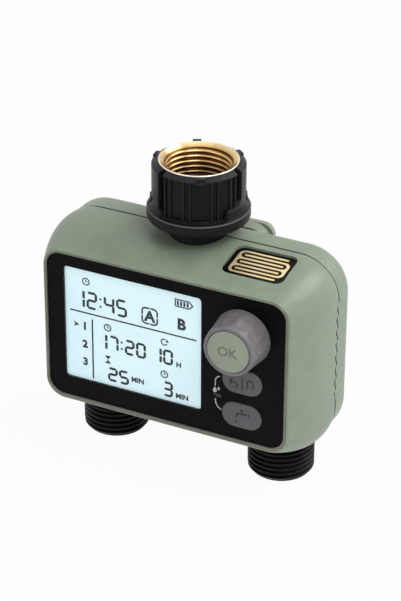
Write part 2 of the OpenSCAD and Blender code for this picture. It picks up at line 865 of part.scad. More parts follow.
// Lug on the bevel above the middle of each recess
module collar_lug() {
  translate([-lug_w / 2, -(collar_r - 0.15), recess_top - 0.6])
    cube([lug_w, collar_r - rim_r - 0.6, collar_top - recess_top + 0.45]);
}

// Tab with a slot on the flare, where a tool turns the collar
module collar_tab() {
  foot = recess_bottom - 0.8;
  h = recess_step + 2;
  difference() {
    translate([-wing_tab_w / 2, -(collar_flange_r - 0.9), foot]) cube([wing_tab_w, 2.6, h]);
    translate([-0.9, -(collar_flange_r + 1), foot + 0.6]) cube([1.8, 3, h]);
  }
}

module inlet_collar() {
  color("#333236")
    rotate([0, 0, collar_turn]) {
      difference() {
        collar_body();
        collar_recess(60);
        rotate([0, 0, 180]) collar_recess(60);
        for (a = [slot_angle, -slot_angle, 180 - slot_angle, 180 + slot_angle])
          collar_slot(a);
      }
      for (turn = [0, 180])
        rotate([0, 0, turn]) {
          collar_lug();
          rotate([0, 0, 90]) collar_tab();
          for (a = [-49, -41, -22, -13.5, 13.5, 22])
            collar_rib(a, recess_bottom - 0.2);
          for (a = [41, 49])
            collar_rib(a, recess_bottom + recess_step - 0.2);
        }
    }
}

module inlet_insert() {
  color("#c79a4a")
    rotate_extrude()
      polygon([[inlet_bore_r, 0], [rim_r - 0.3, 0], [rim_r - 0.1, -0.1], [rim_r, -0.3],
        [rim_r, -rim_h], [insert_r, -rim_h], [insert_r, -insert_len],
        [washer_seat_r, -insert_len], [washer_seat_r, -inlet_thread_len],
        [inlet_bore_r, -inlet_thread_len]]);
}

module collar_retainer() {
  z0 = collar_cavity_bottom + fit_gap;
  color("silver")
    difference() {
      tube(collar_cavity_r - 0.2, neck_r - groove_d + fit_gap, z0, z0 + retainer_h);
      translate([-2.5, 0, z0 - cut]) cube([5, 2 * neck_r, retainer_h + 2 * cut]);
    }
}

module inlet_o_ring() {
  section_r = (collar_cavity_r - neck_r - 2 * fit_gap) / 2;
  color("#1c1c1e")
    translate([0, 0, neck_top - section_r - 0.6])
      rotate_extrude()
        translate([neck_r + fit_gap + section_r, 0]) circle(section_r, $fn = 24);
}

module inlet_washer() {
  color("#2a2a2c")
    tube(washer_seat_r - fit_gap, neck_bore_r - 0.2, washer_bottom, washer_bottom + washer_t);
}

module filter_screen() {
  top = washer_bottom + washer_t - 0.4;
  r = neck_bore_r - 0.3;
  color("#a9adb0")
    rotate_extrude()
      polygon([[r - 0.4, top], [r, top], [r - 3.4, top - 10], [0, top - 10], [0, top - 9.6],
        [r - 3.7, top - 9.6]]);
}

// ---------- valves ----------

// Round flange cut flat in front and behind, where the walls of the two halves slope in, and
// beside a corner of the housing at x1
module clipped_flange(r, h, x1) {
  intersection() {
    cylinder(r = r, h = h);
    translate([-r, -2, 0]) cube([r + x1, flange_rear_y + 2, h]);
  }
}

module neck_outside() {
  flange_top = body_top - wall - fit_gap;
  groove_z = collar_cavity_bottom + fit_gap / 2;
  difference() {
    translate([0, 0, flange_top]) cylinder(r = neck_r, h = neck_top - flange_top);
    tube(neck_r + cut, neck_r - groove_d, groove_z, groove_z + retainer_h + fit_gap);
  }
  translate([0, 0, flange_top - 2]) clipped_flange(neck_r + 3, 2, neck_r + 3);
}

module valve_outside() {
  neck_outside();
  translate([0, 0, arm_z - arm_r]) cylinder(r = tube_r, h = body_top - wall - 2 - arm_z + arm_r);
  translate([-tube_r, arm_y - arm_r, arm_z - arm_r - 1])
    cube([2 * tube_r, arm_r + 3 - arm_y, 2 * arm_r + 2]);
  translate([-outlet_x, arm_y, arm_z]) rotate([0, 90, 0]) cylinder(r = arm_r, h = 2 * outlet_x);
  both_sides() {
    translate([0, 0, chamber_bottom]) cylinder(r = chamber_r, h = chamber_h);
    translate([0, 0, chamber_bottom - spigot_len]) cylinder(r = spigot_r, h = spigot_len + cut);
  }
}

module valve_waterway() {
  step_z = body_top - wall - 1;
  translate([0, 0, step_z]) cylinder(r = neck_bore_r, h = inlet_h);
  translate([0, 0, arm_z - arm_bore_r]) cylinder(r = tube_bore_r, h = step_z - arm_z + arm_bore_r + cut);
  translate([-tube_bore_r, arm_y - arm_bore_r, arm_z - arm_bore_r])
    cube([2 * tube_bore_r, arm_bore_r - arm_y, 2 * arm_bore_r]);
  translate([-outlet_x, arm_y, arm_z]) rotate([0, 90, 0]) cylinder(r = arm_bore_r, h = 2 * outlet_x);
  both_sides() {
    difference() {
      translate([0, 0, chamber_bottom + 2]) cylinder(r = chamber_bore_r, h = chamber_h);
      translate([0, 0, chamber_bottom + 1]) cylinder(r = seat_r + 1.3, h = seat_top - chamber_bottom - 1);
    }
    translate([0, 0, chamber_bottom - spigot_len - cut]) cylinder(r = seat_r, h = chamber_h);
  }
}

module valve_body() {
  color("#26272a")
    difference() {
      valve_outside();
      valve_waterway();
    }
}

// Threaded outlet, glued over the valve's spigot and shouldered inside the housing
module outlet(side) {
  top = chamber_bottom - 1;
  shoulder = body_bottom + wall + fit_gap;
  color("#2b2b2d")
    translate([side * outlet_x, 0, 0])
      difference() {
        union() {
          translate([0, 0, shoulder]) cylinder(r = outlet_tube_r, h = top - shoulder);
          translate([0, 0, shoulder])
            mirror([side < 0 ? 1 : 0, 0, 0])
              clipped_flange(outlet_flange_r, outlet_flange_t, body_w / 2 - body_corner_r - outlet_x);
          translate([0, 0, outlet_bottom]) cylinder(r = thread_r, h = thread_len - free_gap);
          translate([0, 0, outlet_bottom]) cylinder(r = relief_r, h = shoulder - outlet_bottom);
        }
        translate([0, 0, outlet_bottom - cut])
          cylinder(r = outlet_bore_r, h = shoulder - outlet_bottom + cut);
        translate([0, 0, outlet_bottom]) cylinder(r = spigot_r + fit_gap, h = top - outlet_bottom + cut);
      }
}

module outlet_left() {
  outlet(-1);
}

module outlet_right() {
  outlet(1);
}

// Coil with its bobbin flanges, its steel yoke and the tube that the plunger slides in
module solenoid(side) {
  color("#b06a3a")
    translate([side * outlet_x, 0, 0])
      difference() {
        union() {
          translate([0, 0, chamber_top + fit_gap]) cylinder(r = solenoid_r, h = 2);
          translate([0, 0, chamber_top + 1]) cylinder(r = solenoid_r - 1, h = solenoid_h - 2);
          translate([0, 0, solenoid_top - 2]) cylinder(r = solenoid_r, h = 2);
          translate([0, 0, chamber_top - 3]) cylinder(r = chamber_bore_r - fit_gap, h = 4);
        }
        translate([0, 0, chamber_top - 4]) cylinder(r = plunger_r + run_gap, h = solenoid_top - chamber_top + 2.4);
      }
}

module solenoid_left() {
  solenoid(-1);
}

module solenoid_right() {
  solenoid(1);
}

module plunger(side) {
  color("#b9bcc0")
    translate([side * outlet_x, 0, plunger_bottom]) {
      cylinder(r = plunger_r, h = plunger_top - plunger_bottom - 1);
      cylinder(r = plunger_r - 0.5, h = plunger_top - plunger_bottom);
    }
}

module plunger_left() {
  plunger(-1);
}

module plunger_right() {
  plunger(1);
}

// Round wire wound from z0 to z1, swept along its own helix
module helix_spring(x, z0, z1, r, wire, turns) {
  sides = 6;
  rings = ceil(turns * 12);
  rise = z1 - z0 - wire;
  points = [for (i = [0:rings], k = [0:sides - 1]) let (
      a = 360 * turns * i / rings, b = 360 * k / sides, q = r + wire / 2 * cos(b))
    [x + q * cos(a), q * sin(a), z0 + wire / 2 + rise * i / rings + wire / 2 * sin(b)]];
  walls = [for (i = [0:rings - 1], k = [0:sides - 1]) let (
      a = i * sides + k, b = i * sides + (k + 1) % sides)
    each [[a, b, b + sides], [a, b + sides, a + sides]]];
  first = [[for (k = [sides - 1:-1:0]) k]];
  end = [[for (k = [0:sides - 1]) rings * sides + k]];
  polyhedron(points, concat(walls, first, end), convexity = 8);
}

module plunger_spring(side) {
  color("silver")
    helix_spring(side * outlet_x, plunger_top + 0.05, solenoid_top - 1.65, spring_r, spring_wire, spring_turns);
}

module plunger_spring_left() {
  plunger_spring(-1);
}

module plunger_spring_right() {
  plunger_spring(1);
}

// Rubber cup on the plunger's foot, which closes on the valve seat
module seal_disc(side) {
  inner = plunger_r + fit_gap / 2;
  color("#2a2a2c")
    translate([side * outlet_x, 0, seat_top + fit_gap / 2])
      rotate_extrude()
        polygon([[0, 0], [seat_r + 1.6, 0], [seat_r + 1.9, 0.3], [seat_r + 1.9, disc_t],
          [inner + 0.7, disc_t + 1.2], [inner, disc_t + 1.2], [inner, disc_t], [0, disc_t]]);
}

module seal_disc_left() {
  seal_disc(-1);
}

module seal_disc_right() {
  seal_disc(1);
}

// ---------- batteries ----------

module battery_cells() {
  low = bay_bottom + contact_t + contact_spring_h + 0.3;
  color("#3b4a6b")
    for (s = [-1, 1])
      translate([s * cell_x, cell_y, low]) {
        cylinder(r = cell_r, h = cell_len);
        translate([0, 0, cell_len - 0.1]) cylinder(r = cell_nub_r, h = cell_nub_h + 0.1);
      }
}

module battery_contacts() {
  spring_low = bay_bottom + contact_t;
  color("silver")
    for (s = [-1, 1])
      translate([s * cell_x, cell_y, 0]) {
        translate([-contact_w / 2, -contact_w / 2, bay_top - contact_t - 0.05])
          cube([contact_w, contact_w, contact_t]);
        translate([-contact_w / 2, -contact_w / 2, bay_bottom + 0.05])
          cube([contact_w, contact_w, contact_t]);
        for (k = [0:3])
          translate([0, 0, spring_low + k * contact_spring_h / 4])
            tube(contact_w / 2 - 0.5 * k, contact_w / 2 - 1 - 0.5 * k, 0, contact_spring_h / 4 + 0.05);
      }
}

function cover_section(edge, y) = section(cover_w - 2 * edge, cover_h - 2 * edge, cover_z,
  5 - edge / 2, y);

module battery_cover() {
  spigot_w = mouth_w - 2 * spigot_gap;
  spigot_h = mouth_h - 2 * spigot_gap;
  grip_z = cover_z - cover_h / 2 + 11;
  color("#8e9c87")
    difference() {
      union() {
        difference() {
          loft([cover_section(0, cover_front_y), cover_section(0.3, cover_rear_y - 1.6),
            cover_section(0.6, cover_rear_y - 0.8), cover_section(1.1, cover_rear_y - 0.2),
            cover_section(1.6, cover_rear_y)]);
          stand(cover_front_y - cut, cover_rear_y - cover_wall, 0, cover_z)
            rounded(cover_w - 4, cover_h - 4, 3);
        }
        stand(cover_front_y - mouth_depth + 0.4, cover_rear_y - cover_wall + 0.1, 0, box_z)
          difference() {
            rounded(spigot_w, spigot_h, mouth_r - spigot_gap);
            rounded(spigot_w - 2.6, spigot_h - 2.6, 1.2);
          }
      }
      stand(cover_rear_y - 0.9, cover_rear_y + cut, 0, grip_z) obround(22, 9);
    }
}

module battery_cover_seal() {
  color("#26282a")
    stand(box_rear_y - mouth_depth + 0.6, box_rear_y - 0.3, 0, box_z)
      difference() {
        rounded(mouth_w - 2 * spigot_gap + 2 * seal_t, mouth_h - 2 * spigot_gap + 2 * seal_t, mouth_r - 0.4);
        rounded(mouth_w - 2 * spigot_gap + 0.1, mouth_h - 2 * spigot_gap + 0.1, mouth_r - spigot_gap);
      }
}

front_housing();
rear_housing();
front_bezel();
front_panel();
display_window();
lcd_module();
main_board();
board_screws();
encoder_body();
encoder_shaft();
control_knob();
ok_button();
back_lock_button();
manual_button();
button_switches();
rain_sensor_plate();
rain_sensor_tracks();
inlet_collar();
inlet_insert();
collar_retainer();
inlet_o_ring();
inlet_washer();
filter_screen();
valve_body();
outlet_left();
outlet_right();
solenoid_left();
solenoid_right();
plunger_left();
plunger_right();
plunger_spring_left();
plunger_spring_right();
seal_disc_left();
seal_disc_right();
housing_seal();
housing_screws();
battery_cells();
battery_contacts();
battery_cover();
battery_cover_seal();
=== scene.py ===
# Looks of the two-outlet drip irrigation timer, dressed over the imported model.
# Metres, in the model's own frame: the origin is the centre of the inlet mouth on top of the brass
# rim, +Z up, and the display panel faces -Y. Sizes are written in millimetres and scaled by MM.

import math

import bmesh
import bpy
import numpy as np
from mathutils import Matrix, Vector
from mathutils.bvhtree import BVHTree

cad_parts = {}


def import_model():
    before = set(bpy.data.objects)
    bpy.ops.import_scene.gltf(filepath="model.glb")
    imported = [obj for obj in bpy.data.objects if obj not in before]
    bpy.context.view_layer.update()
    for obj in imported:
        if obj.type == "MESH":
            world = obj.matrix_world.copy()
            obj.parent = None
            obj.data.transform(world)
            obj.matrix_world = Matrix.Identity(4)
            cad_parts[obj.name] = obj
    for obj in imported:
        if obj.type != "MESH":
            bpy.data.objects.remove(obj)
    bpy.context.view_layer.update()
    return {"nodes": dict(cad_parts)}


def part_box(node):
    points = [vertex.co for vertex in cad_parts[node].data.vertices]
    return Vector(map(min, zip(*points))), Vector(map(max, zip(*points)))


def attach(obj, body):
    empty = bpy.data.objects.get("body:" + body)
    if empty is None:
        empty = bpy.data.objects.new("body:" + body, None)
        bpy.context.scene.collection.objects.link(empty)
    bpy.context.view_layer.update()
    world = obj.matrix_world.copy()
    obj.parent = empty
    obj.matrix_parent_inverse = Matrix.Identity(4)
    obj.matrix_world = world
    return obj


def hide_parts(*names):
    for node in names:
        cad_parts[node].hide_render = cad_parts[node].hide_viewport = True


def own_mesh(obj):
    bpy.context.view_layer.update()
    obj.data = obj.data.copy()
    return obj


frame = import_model()
MM = 0.001
DEG = math.pi / 180

# ---------- camera, settled by the image points ----------

PHOTO = (401, 601)
LENS, SENSOR = 139.86, 36.0
AZIMUTH, ELEVATION, ROLL = 26.301, 29.103, 0.274
AIM = Vector((15.625, -29.7, -43.88)) * MM
DISTANCE = 889.0 * MM

# Features of the photograph in its own pixels: [x, y]
IMAGE_POINTS = {
    "left_side_x": [43.6, 267.0],
    "right_side_x": [347.7, 282.0],
    "inlet_rim_top_y": [199.0, 140.7],
    "right_outlet_foot_y": [282.0, 481.3],
    "window_top_left": [63.24, 265.16],
    "window_top_right": [201.15, 299.07],
    "window_bottom_left": [66.10, 374.78],
    "window_bottom_right": [200.80, 410.53],
    "ok_button_centre": [227.4, 352.8],
    "upper_button_mark": [243.0, 384.3],
    "lower_button_mark": [242.0, 416.4],
    "sensor_pocket_left": [223.5, 267.4],
    "sensor_pocket_back": [243.0, 247.4],
    "clock_digits": [104.0, 304.0],
    "boxed_letter": [149.7, 316.4],
    "battery_sign": [183.7, 304.4],
    "drop_mark": [215.4, 390.2],
}


def placed(name, data):
    """New object in the scene that holds the given data."""
    made = bpy.data.objects.new(name, data)
    bpy.context.scene.collection.objects.link(made)
    return made


def direction(azimuth, elevation):
    """Unit vector at an azimuth from -Y towards +X and an elevation above level, in degrees."""
    a, e = azimuth * DEG, elevation * DEG
    return Vector((math.sin(a) * math.cos(e), -math.cos(a) * math.cos(e), math.sin(e)))


def camera_axes():
    """Right, up and back of the camera, from its azimuth, elevation and roll."""
    a, r = AZIMUTH * DEG, ROLL * DEG
    back, right = direction(AZIMUTH, ELEVATION), Vector((math.cos(a), math.sin(a), 0))
    up = back.cross(right)
    return right * math.cos(r) + up * math.sin(r), up * math.cos(r) - right * math.sin(r), back


EYE = AIM + camera_axes()[2] * DISTANCE


def add_camera():
    """Camera at the eye point, turned to its axes, with the lens that the image points give."""
    right, up, back = camera_axes()
    data = bpy.data.cameras.new("camera")
    data.lens, data.sensor_width, data.sensor_fit = LENS, SENSOR, "AUTO"
    data.clip_start, data.clip_end = 0.05, 20
    camera = placed("camera", data)
    turn = Matrix((right, up, back)).transposed().to_4x4()
    camera.matrix_world = Matrix.Translation(EYE) @ turn
    bpy.context.scene.camera = camera


# ---------- small tools for nodes and meshes ----------


def linear(code):
    """sRGB hex to linear RGBA."""
    parts = [int(code[i : i + 2], 16) / 255 for i in (1, 3, 5)]
    return (*[c / 12.92 if c <= 0.04045 else ((c + 0.055) / 1.055) ** 2.4 for c in parts], 1)


def wire(tree, made, links):
    """Feeds inputs, by name or number, each from an output socket or from a node's first output."""
    for name, source in links.items():
        tree.links.new(getattr(source, "outputs", [source])[0], made.inputs[name])


def node(tree, kind, links=None, stops=None, **settings):
    """Adds a shader node. Settings name its properties, or its input sockets with _ for a space;
    links feed its inputs; stops are a colour ramp's positions, each with a hex colour or a grey."""
    made = tree.nodes.new("ShaderNode" + kind)
    for name, value in settings.items():
        if hasattr(made, name):
            setattr(made, name, value)
        else:
            made.inputs[name.replace("_", " ")].default_value = value
    if stops:
        elements = made.color_ramp.elements
        elements.remove(elements[1])
        for index, (at, value) in enumerate(stops):
            slot = elements.new(at) if index else elements[0]
            slot.position = at
            slot.color = linear(value) if isinstance(value, str) else (value, value, value, 1)
    wire(tree, made, links or {})
    return made


def material(name, **shader):
    """A Principled material with its fixed numbers set on the shader's own sockets."""
    made = bpy.data.materials.new(name)
    made.use_nodes = True
    tree = made.node_tree
    tree.nodes.clear()
    surface = node(tree, "BsdfPrincipled", **shader)
    node(tree, "OutputMaterial", {"Surface": surface}, name="output")
    return made, tree, surface


def place(tree, scale=(1, 1, 1)):
    """Object coordinates in millimetres, stretched by scale."""
    where = node(tree, "TexCoord")
    size = [1000 * s for s in scale]
    return node(tree, "Mapping", {"Vector": where.outputs["Object"]}, Scale=size)


# Noise lies mostly between these two values, so a ramp over it runs from one to the other
NOISE_SPAN = (0.3, 0.7)


def coat(tree, surface, colour, sheen, roughness, relief, depth_mm):
    """Feeds a shader its colour, a roughness that follows the sheen pattern between two values, and
    a bump as deep as depth_mm in the relief pattern."""
    wire(tree, surface, {
        "Base Color": colour,
        "Roughness": node(tree, "ValToRGB", {"Fac": sheen}, zip(NOISE_SPAN, roughness)),
        "Normal": node(tree, "Bump", {"Height": relief}, Distance=depth_mm * MM),
    })


def moulded(name, colours, grain_mm, grain_depth_mm, roughness, mottle_mm=9.0, **shader):
    """Moulded plastic: slow colour mottling, a fine spark-eroded grain and uneven sheen."""
    made, tree, surface = material(name, **shader)
    at = place(tree)
    slow = node(tree, "TexNoise", {"Vector": at}, Scale=1 / mottle_mm, Detail=3.0)
    fine = node(tree, "TexNoise", {"Vector": at}, Scale=1 / grain_mm, Detail=2.0)
    tone = node(tree, "ValToRGB", {"Fac": slow}, zip(NOISE_SPAN, colours))
    coat(tree, surface, tone, slow, (roughness - 0.04, roughness + 0.05), fine, grain_depth_mm)
    return made


def full_turn(count):
    """Evenly spaced angles once round a circle."""
    return np.linspace(0, 2 * np.pi, count, endpoint=False)


def grid_faces(rows, columns, closed_rows=False, closed_columns=True, start=0):
    """Quads of a rows x columns grid of points, row by row, as an array."""
    i = np.arange(rows if closed_rows else rows - 1)[:, None]
    j = np.arange(columns if closed_columns else columns - 1)[None, :]
    n, m = (i + 1) % rows, (j + 1) % columns
    quads = np.stack([i * columns + j, i * columns + m, n * columns + m, n * columns + j], -1)
    return quads.reshape(-1, 4) + start


# ---------- sizes read from the model ----------


def span(name):
    """Lowest and highest corner of a CAD node, in millimetres."""
    low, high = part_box(name)
    return np.array(low) / MM, np.array(high) / MM


front_low, front_high = span("front_housing")
rear_low = span("rear_housing")[0]
panel_low, panel_high = span("front_panel")
lcd_low = span("lcd_module")[0]
board_low, board_high = span("main_board")
knob_low, knob_high = span("control_knob")
ok_low, ok_high = span("ok_button")
upper_low, upper_high = span("back_lock_button")
lower_low, lower_high = span("manual_button")
collar_low = span("inlet_collar")[0]
insert_low, insert_high = span("inlet_insert")
outlet_low, outlet_high = span("outlet_right")

BODY_W = front_high[0] - front_low[0]
BODY_H = front_high[2] - front_low[2]
BODY_Z = (front_high[2] + front_low[2]) / 2
LIP_Y = front_low[1]
PANEL = (panel_low + panel_high) / 2
PANEL_W, PANEL_H = panel_high[0] - panel_low[0], panel_high[2] - panel_low[2]
KNOB = (knob_low + knob_high) / 2
OUTLET_X = BODY_W / 2 - 22.95
# Housing: wall, the lip's sides, corner and rise, the corner at the split line, the round of the
# rear edge, and the powers by which the sides and the corners flare
WALL, LIP_W, LIP_H, LIP_R, LIP_RISE, CORNER_R = 2.6, 106.2, 66.8, 8.1, 1.6, 17.4
REAR_ROUND, FLARE, CORNER_FLARE = 5.5, 1.8, 0.65

# ---------- materials ----------

# Sage green ABS, injection moulded against a fine spark-eroded mould: soft sheen, no sparkle
sage_abs = moulded("sage_green_moulded_abs", ("#8a9885", "#93a18c"), 0.5, 0.012, 0.38, IOR=1.53)


def painted_joint_shade(made, half_width_mm=0.45):
    """Paints shade into a plastic's colour in the joint of the two halves: a band along y = 0 that
    fades out over its half width on either side."""
    tree = made.node_tree
    surface = next(n for n in tree.nodes if n.type == "BSDF_PRINCIPLED")
    base = surface.inputs["Base Color"].links[0].from_socket
    parts = node(tree, "SeparateXYZ", {"Vector": place(tree)})
    away = node(tree, "Math", {0: parts.outputs["Y"]}, operation="ABSOLUTE")
    band = {"From_Min": 0.5 * half_width_mm, "From_Max": half_width_mm, "To_Min": 0.3}
    # Painted shade: the colour falls to 0.3 of itself in the middle of the joint
    unshaded_share = node(tree, "MapRange", {"Value": away}, **band)
    shaded = node(tree, "VectorMath", {0: base, "Scale": unshaded_share}, operation="SCALE")
    wire(tree, surface, {"Base Color": shaded})


# Painted shade along the split line of the housing
painted_joint_shade(sage_abs)
# Olive-grey ABS of the bezel, smoother, so its edges catch light
bezel_abs = moulded("olive_grey_bezel_abs", ("#75746b", "#807f75"), 0.4, 0.008, 0.42, IOR=1.53)
# Black polycarbonate panel, silk-screened from behind: even, satin, almost no grain
panel_black = moulded(
    "black_screened_polycarbonate", ("#070709", "#0c0c0e"), 0.4, 0.002, 0.4, IOR=1.58, Specular_IOR_Level=0.05
)
# Grey ABS of the knob, moulded: warm grey with a fine matt texture
knob_grey = moulded("warm_grey_moulded_abs", ("#777377", "#817d80"), 0.4, 0.01, 0.46, IOR=1.53)
# Pale green-grey ABS of the push cap, moulded: a little duller than the housing
ok_sage = moulded("pale_sage_cap_abs", ("#9aa492", "#a2ab99"), 0.4, 0.008, 0.5, IOR=1.53)
# Grey silicone keypad rubber, pressed: matt, with a trace of violet
key_rubber = moulded("grey_silicone_keypad", ("#5e5c60", "#666468"), 0.5, 0.01, 0.55, IOR=1.43)
# Black polypropylene of the outlets, from a polished mould: near black, with a silky gloss
black_pp = moulded(
    "black_moulded_polypropylene", ("#0a0a0b", "#111012"), 0.6, 0.012, 0.36, IOR=1.49, Specular_IOR_Level=0.14
)


def round_axis(tree, at):
    """Distance from the vertical axis through the origin, and level, in millimetres."""
    parts = node(tree, "SeparateXYZ", {"Vector": at})
    flat = node(tree, "CombineXYZ", {"X": parts.outputs["X"], "Y": parts.outputs["Y"]})
    radius = node(tree, "VectorMath", {0: flat}, operation="LENGTH")
    return radius.outputs["Value"], parts.outputs["Z"]


def collar_painted_light():
    """Black polypropylene with light painted into its colour: a painted highlight in grey where the
    wall stands furthest out, on the bevel and along the bead of the flange, and painted shade near black in
    the recesses between the ribs."""
    made, tree, surface = material("black_polypropylene_painted_light", IOR=1.49, Specular_IOR_Level=0.15)
    at = place(tree)
    radius, level = round_axis(tree, at)
    bevel = node(tree, "MapRange", {"Value": level}, From_Min=-2.0, From_Max=-0.4, To_Max=1.9)
    reach = node(tree, "Math", {0: radius, 1: bevel}, operation="ADD")
    share = node(tree, "MapRange", {"Value": reach}, From_Min=16.5, From_Max=20.5)
    # Painted shade near black in the recesses and slots, painted highlight in grey on the grip and the bevel,
    # dark on the flange
    tone = node(tree, "ValToRGB", {"Fac": share}, [
        (0.0, "#060607"), (0.17, "#0d0d0e"), (0.36, "#1e1d20"), (0.46, "#2b2a2d"), (0.5, "#2b2a2d"),
        (0.56, "#101011"), (1.0, "#151416"),
    ])
    # Painted highlight along the bead of the flange, up to twenty times the tone
    above_bead = node(tree, "Math", {0: level}, operation="ADD")
    above_bead.inputs[1].default_value = 19.8
    off_bead = node(tree, "Math", {0: above_bead}, operation="ABSOLUTE")
    bead_glint = {"From_Max": 0.4, "To_Min": 20.0, "To_Max": 1.0}
    bead_highlight = node(tree, "MapRange", {"Value": off_bead}, **bead_glint)
    painted_tone = node(tree, "VectorMath", {0: tone, "Scale": bead_highlight}, operation="SCALE")
    fine = node(tree, "TexNoise", {"Vector": at}, Scale=1 / 0.6, Detail=2.0)
    coat(tree, surface, painted_tone, fine, (0.36, 0.46), fine, 0.012)
    return made


# Black collar with painted highlights and painted shade
collar_painted_pp = collar_painted_light()
# Black glass-filled nylon of the valve body and its neck: satin, a little rough from the glass
valve_nylon = moulded(
    "black_glass_filled_nylon", ("#101012", "#18181a"), 0.5, 0.02, 0.5, IOR=1.53, Specular_IOR_Level=0.16
)
# Brown vulcanised rubber of the hose washer: matt
washer_rubber = moulded("brown_vulcanised_rubber", ("#3a2412", "#4a2f18"), 0.5, 0.01, 0.7, IOR=1.5)
# Black EPDM seals, pressed: dull, with a trace of bloom
epdm = moulded("black_epdm_rubber", ("#1c1c1e", "#29292b"), 0.5, 0.01, 0.7, IOR=1.5)
# Shrunk film sleeve of the cells: plain blue and glossy
cell_sleeve = moulded("plain_blue_cell_sleeve", ("#35466c", "#3d4f76"), 0.6, 0.002, 0.3, IOR=1.5)
# Copper winding, wound under clear enamel: coppery, with a soft gloss
winding = moulded("enamelled_copper_winding", ("#9c5a2c", "#b36c38"), 0.5, 0.03, 0.35, IOR=1.5)


def machined(name, colours, line_mm, line_depth_mm, roughness, along=(0, 0, 1)):
    """Turned or drawn metal: fine tool lines across `along`, and uneven brightness."""
    made, tree, surface = material(name, Metallic=1.0)
    at = place(tree, [1.0 if a else 0.05 for a in along])
    lines = node(tree, "TexNoise", {"Vector": at}, Scale=1 / line_mm, Detail=3.0)
    slow = node(tree, "TexNoise", {"Vector": place(tree)}, Scale=0.16, Detail=2.0)
    tone = node(tree, "ValToRGB", {"Fac": slow}, zip(NOISE_SPAN, colours))
    coat(tree, surface, tone, lines, (roughness - 0.06, roughness + 0.08), lines, line_depth_mm)
    return made


def threaded_brass():
    """Free-cutting brass, turned and threaded, with light painted into its colour: painted highlights pale
    on the crests and the cone and near white at the rim, painted shade brown in the roots of the thread and
    darker deeper in the bore."""
    made, tree, surface = material("turned_brass_painted_light", Metallic=1.0)
    radius, level = round_axis(tree, place(tree))
    share = node(tree, "MapRange", {"Value": radius}, From_Min=12.3, From_Max=15.8)
    # Painted highlight and shade by radius: pale crests, brown painted shade in the roots, a pale cone and a
    # near white painted highlight at the rim
    tone = node(tree, "ValToRGB", {"Fac": share}, [
        (0.0, "#e8cb9c"), (0.11, "#c99f63"), (0.2, "#84562a"), (0.29, "#4c2e12"), (0.33, "#7c5226"),
        (0.42, "#c9aa70"), (0.8, "#e4cd9e"), (0.92, "#f4e9d2"),
    ])
    # Painted shade down the bore: the tone falls to 0.3 of itself 11 mm deep
    depth = node(tree, "MapRange", {"Value": level}, From_Min=-11.0, From_Max=-3.0, To_Min=0.3)
    bore_shaded = node(tree, "VectorMath", {0: tone, "Scale": depth}, operation="SCALE")
    stretched = place(tree, (0.05, 0.05, 1.0))
    lines = node(tree, "TexNoise", {"Vector": stretched}, Scale=1 / 0.5, Detail=2.0)
    coat(tree, surface, bore_shaded, lines, (0.16, 0.27), lines, 0.002)
    return made


brass = threaded_brass()
# Zinc-plated steel of screws, springs and clips, drawn or stamped: bluish grey, satin
zinc_steel = machined("zinc_plated_steel", ("#a9acb0", "#c2c5c8"), 0.4, 0.006, 0.3)
# Gold-plated copper tracks, etched: pale yellow and satin
gold_plate = machined("gold_plated_track", ("#f3dba6", "#fbe9c2"), 0.5, 0.004, 0.5, along=(0, 1, 0))
# Stainless filter mesh, woven: its wires are too fine to show, so they are drawn 0.8 mm apart
filter_mesh = machined("stainless_filter_mesh", ("#8f9396", "#b4b8bb"), 0.8, 0.2, 0.4)


def board_material(name, mask, trace):
    """Circuit board: solder mask over faint raised tracks, drawn on a 2.54 mm grid."""
    made, tree, surface = material(name, Roughness=0.32, IOR=1.55)
    cells = node(tree, "TexVoronoi", {"Vector": place(tree)}, Scale=1 / 2.54)
    cells.distance = "CHEBYCHEV"
    wire(tree, surface, {
        "Base Color": node(tree, "ValToRGB", {"Fac": cells}, [(0.1, trace), (0.16, mask), (1.0, mask)]),
        "Normal": node(tree, "Bump", {"Height": cells}, Distance=0.02 * MM),
    })
    return made


green_board = board_material("green_solder_mask_board", "#17492d", "#2a6e46")
# Black solder mask of the rain sensor: smooth and glossy, faint weave of the laminate under it
sensor_black = moulded(
    "black_solder_mask", ("#060607", "#0a0a0b"), 0.9, 0.004, 0.35, IOR=1.55, Specular_IOR_Level=0.08
)


def lcd_painted_glow():
    """LCD polariser with a painted glow: pale blue-white, a little deeper to one side, and faintly glowing in
    its own colour.
    """
    # Painted glow: the face gives off light of its own colour at a strength of 0.38
    made, tree, surface = material("lcd_polariser_painted_glow", Roughness=0.35, IOR=1.5, Emission_Strength=0.38)
    slow = node(tree, "TexNoise", {"Vector": place(tree)}, Scale=0.03, Detail=1.0)
    colour = node(tree, "ValToRGB", {"Fac": slow}, zip(NOISE_SPAN, ("#d6f0f8", "#dcf5fb")))
    wire(tree, surface, {"Base Color": colour, "Emission Color": colour})
    return made


def clear_window():
    """Clear acrylic window: almost all light passes, with a faint even haze from its hard coat."""
    made, tree, surface = material("clear_hard_coated_acrylic", IOR=1.49, Alpha=0.04)
    slow = node(tree, "TexNoise", {"Vector": place(tree)}, Scale=0.2, Detail=2.0)
    wire(tree, surface, {
        "Base Color": node(tree, "ValToRGB", {"Fac": slow}, zip(NOISE_SPAN, ("#eef8fa", "#f7fcfd"))),
        "Roughness": node(tree, "ValToRGB", {"Fac": slow}, zip(NOISE_SPAN, (0.1, 0.16))),
    })
    return made


lcd_glow_skin = lcd_painted_glow()
clear_acrylic = clear_window()
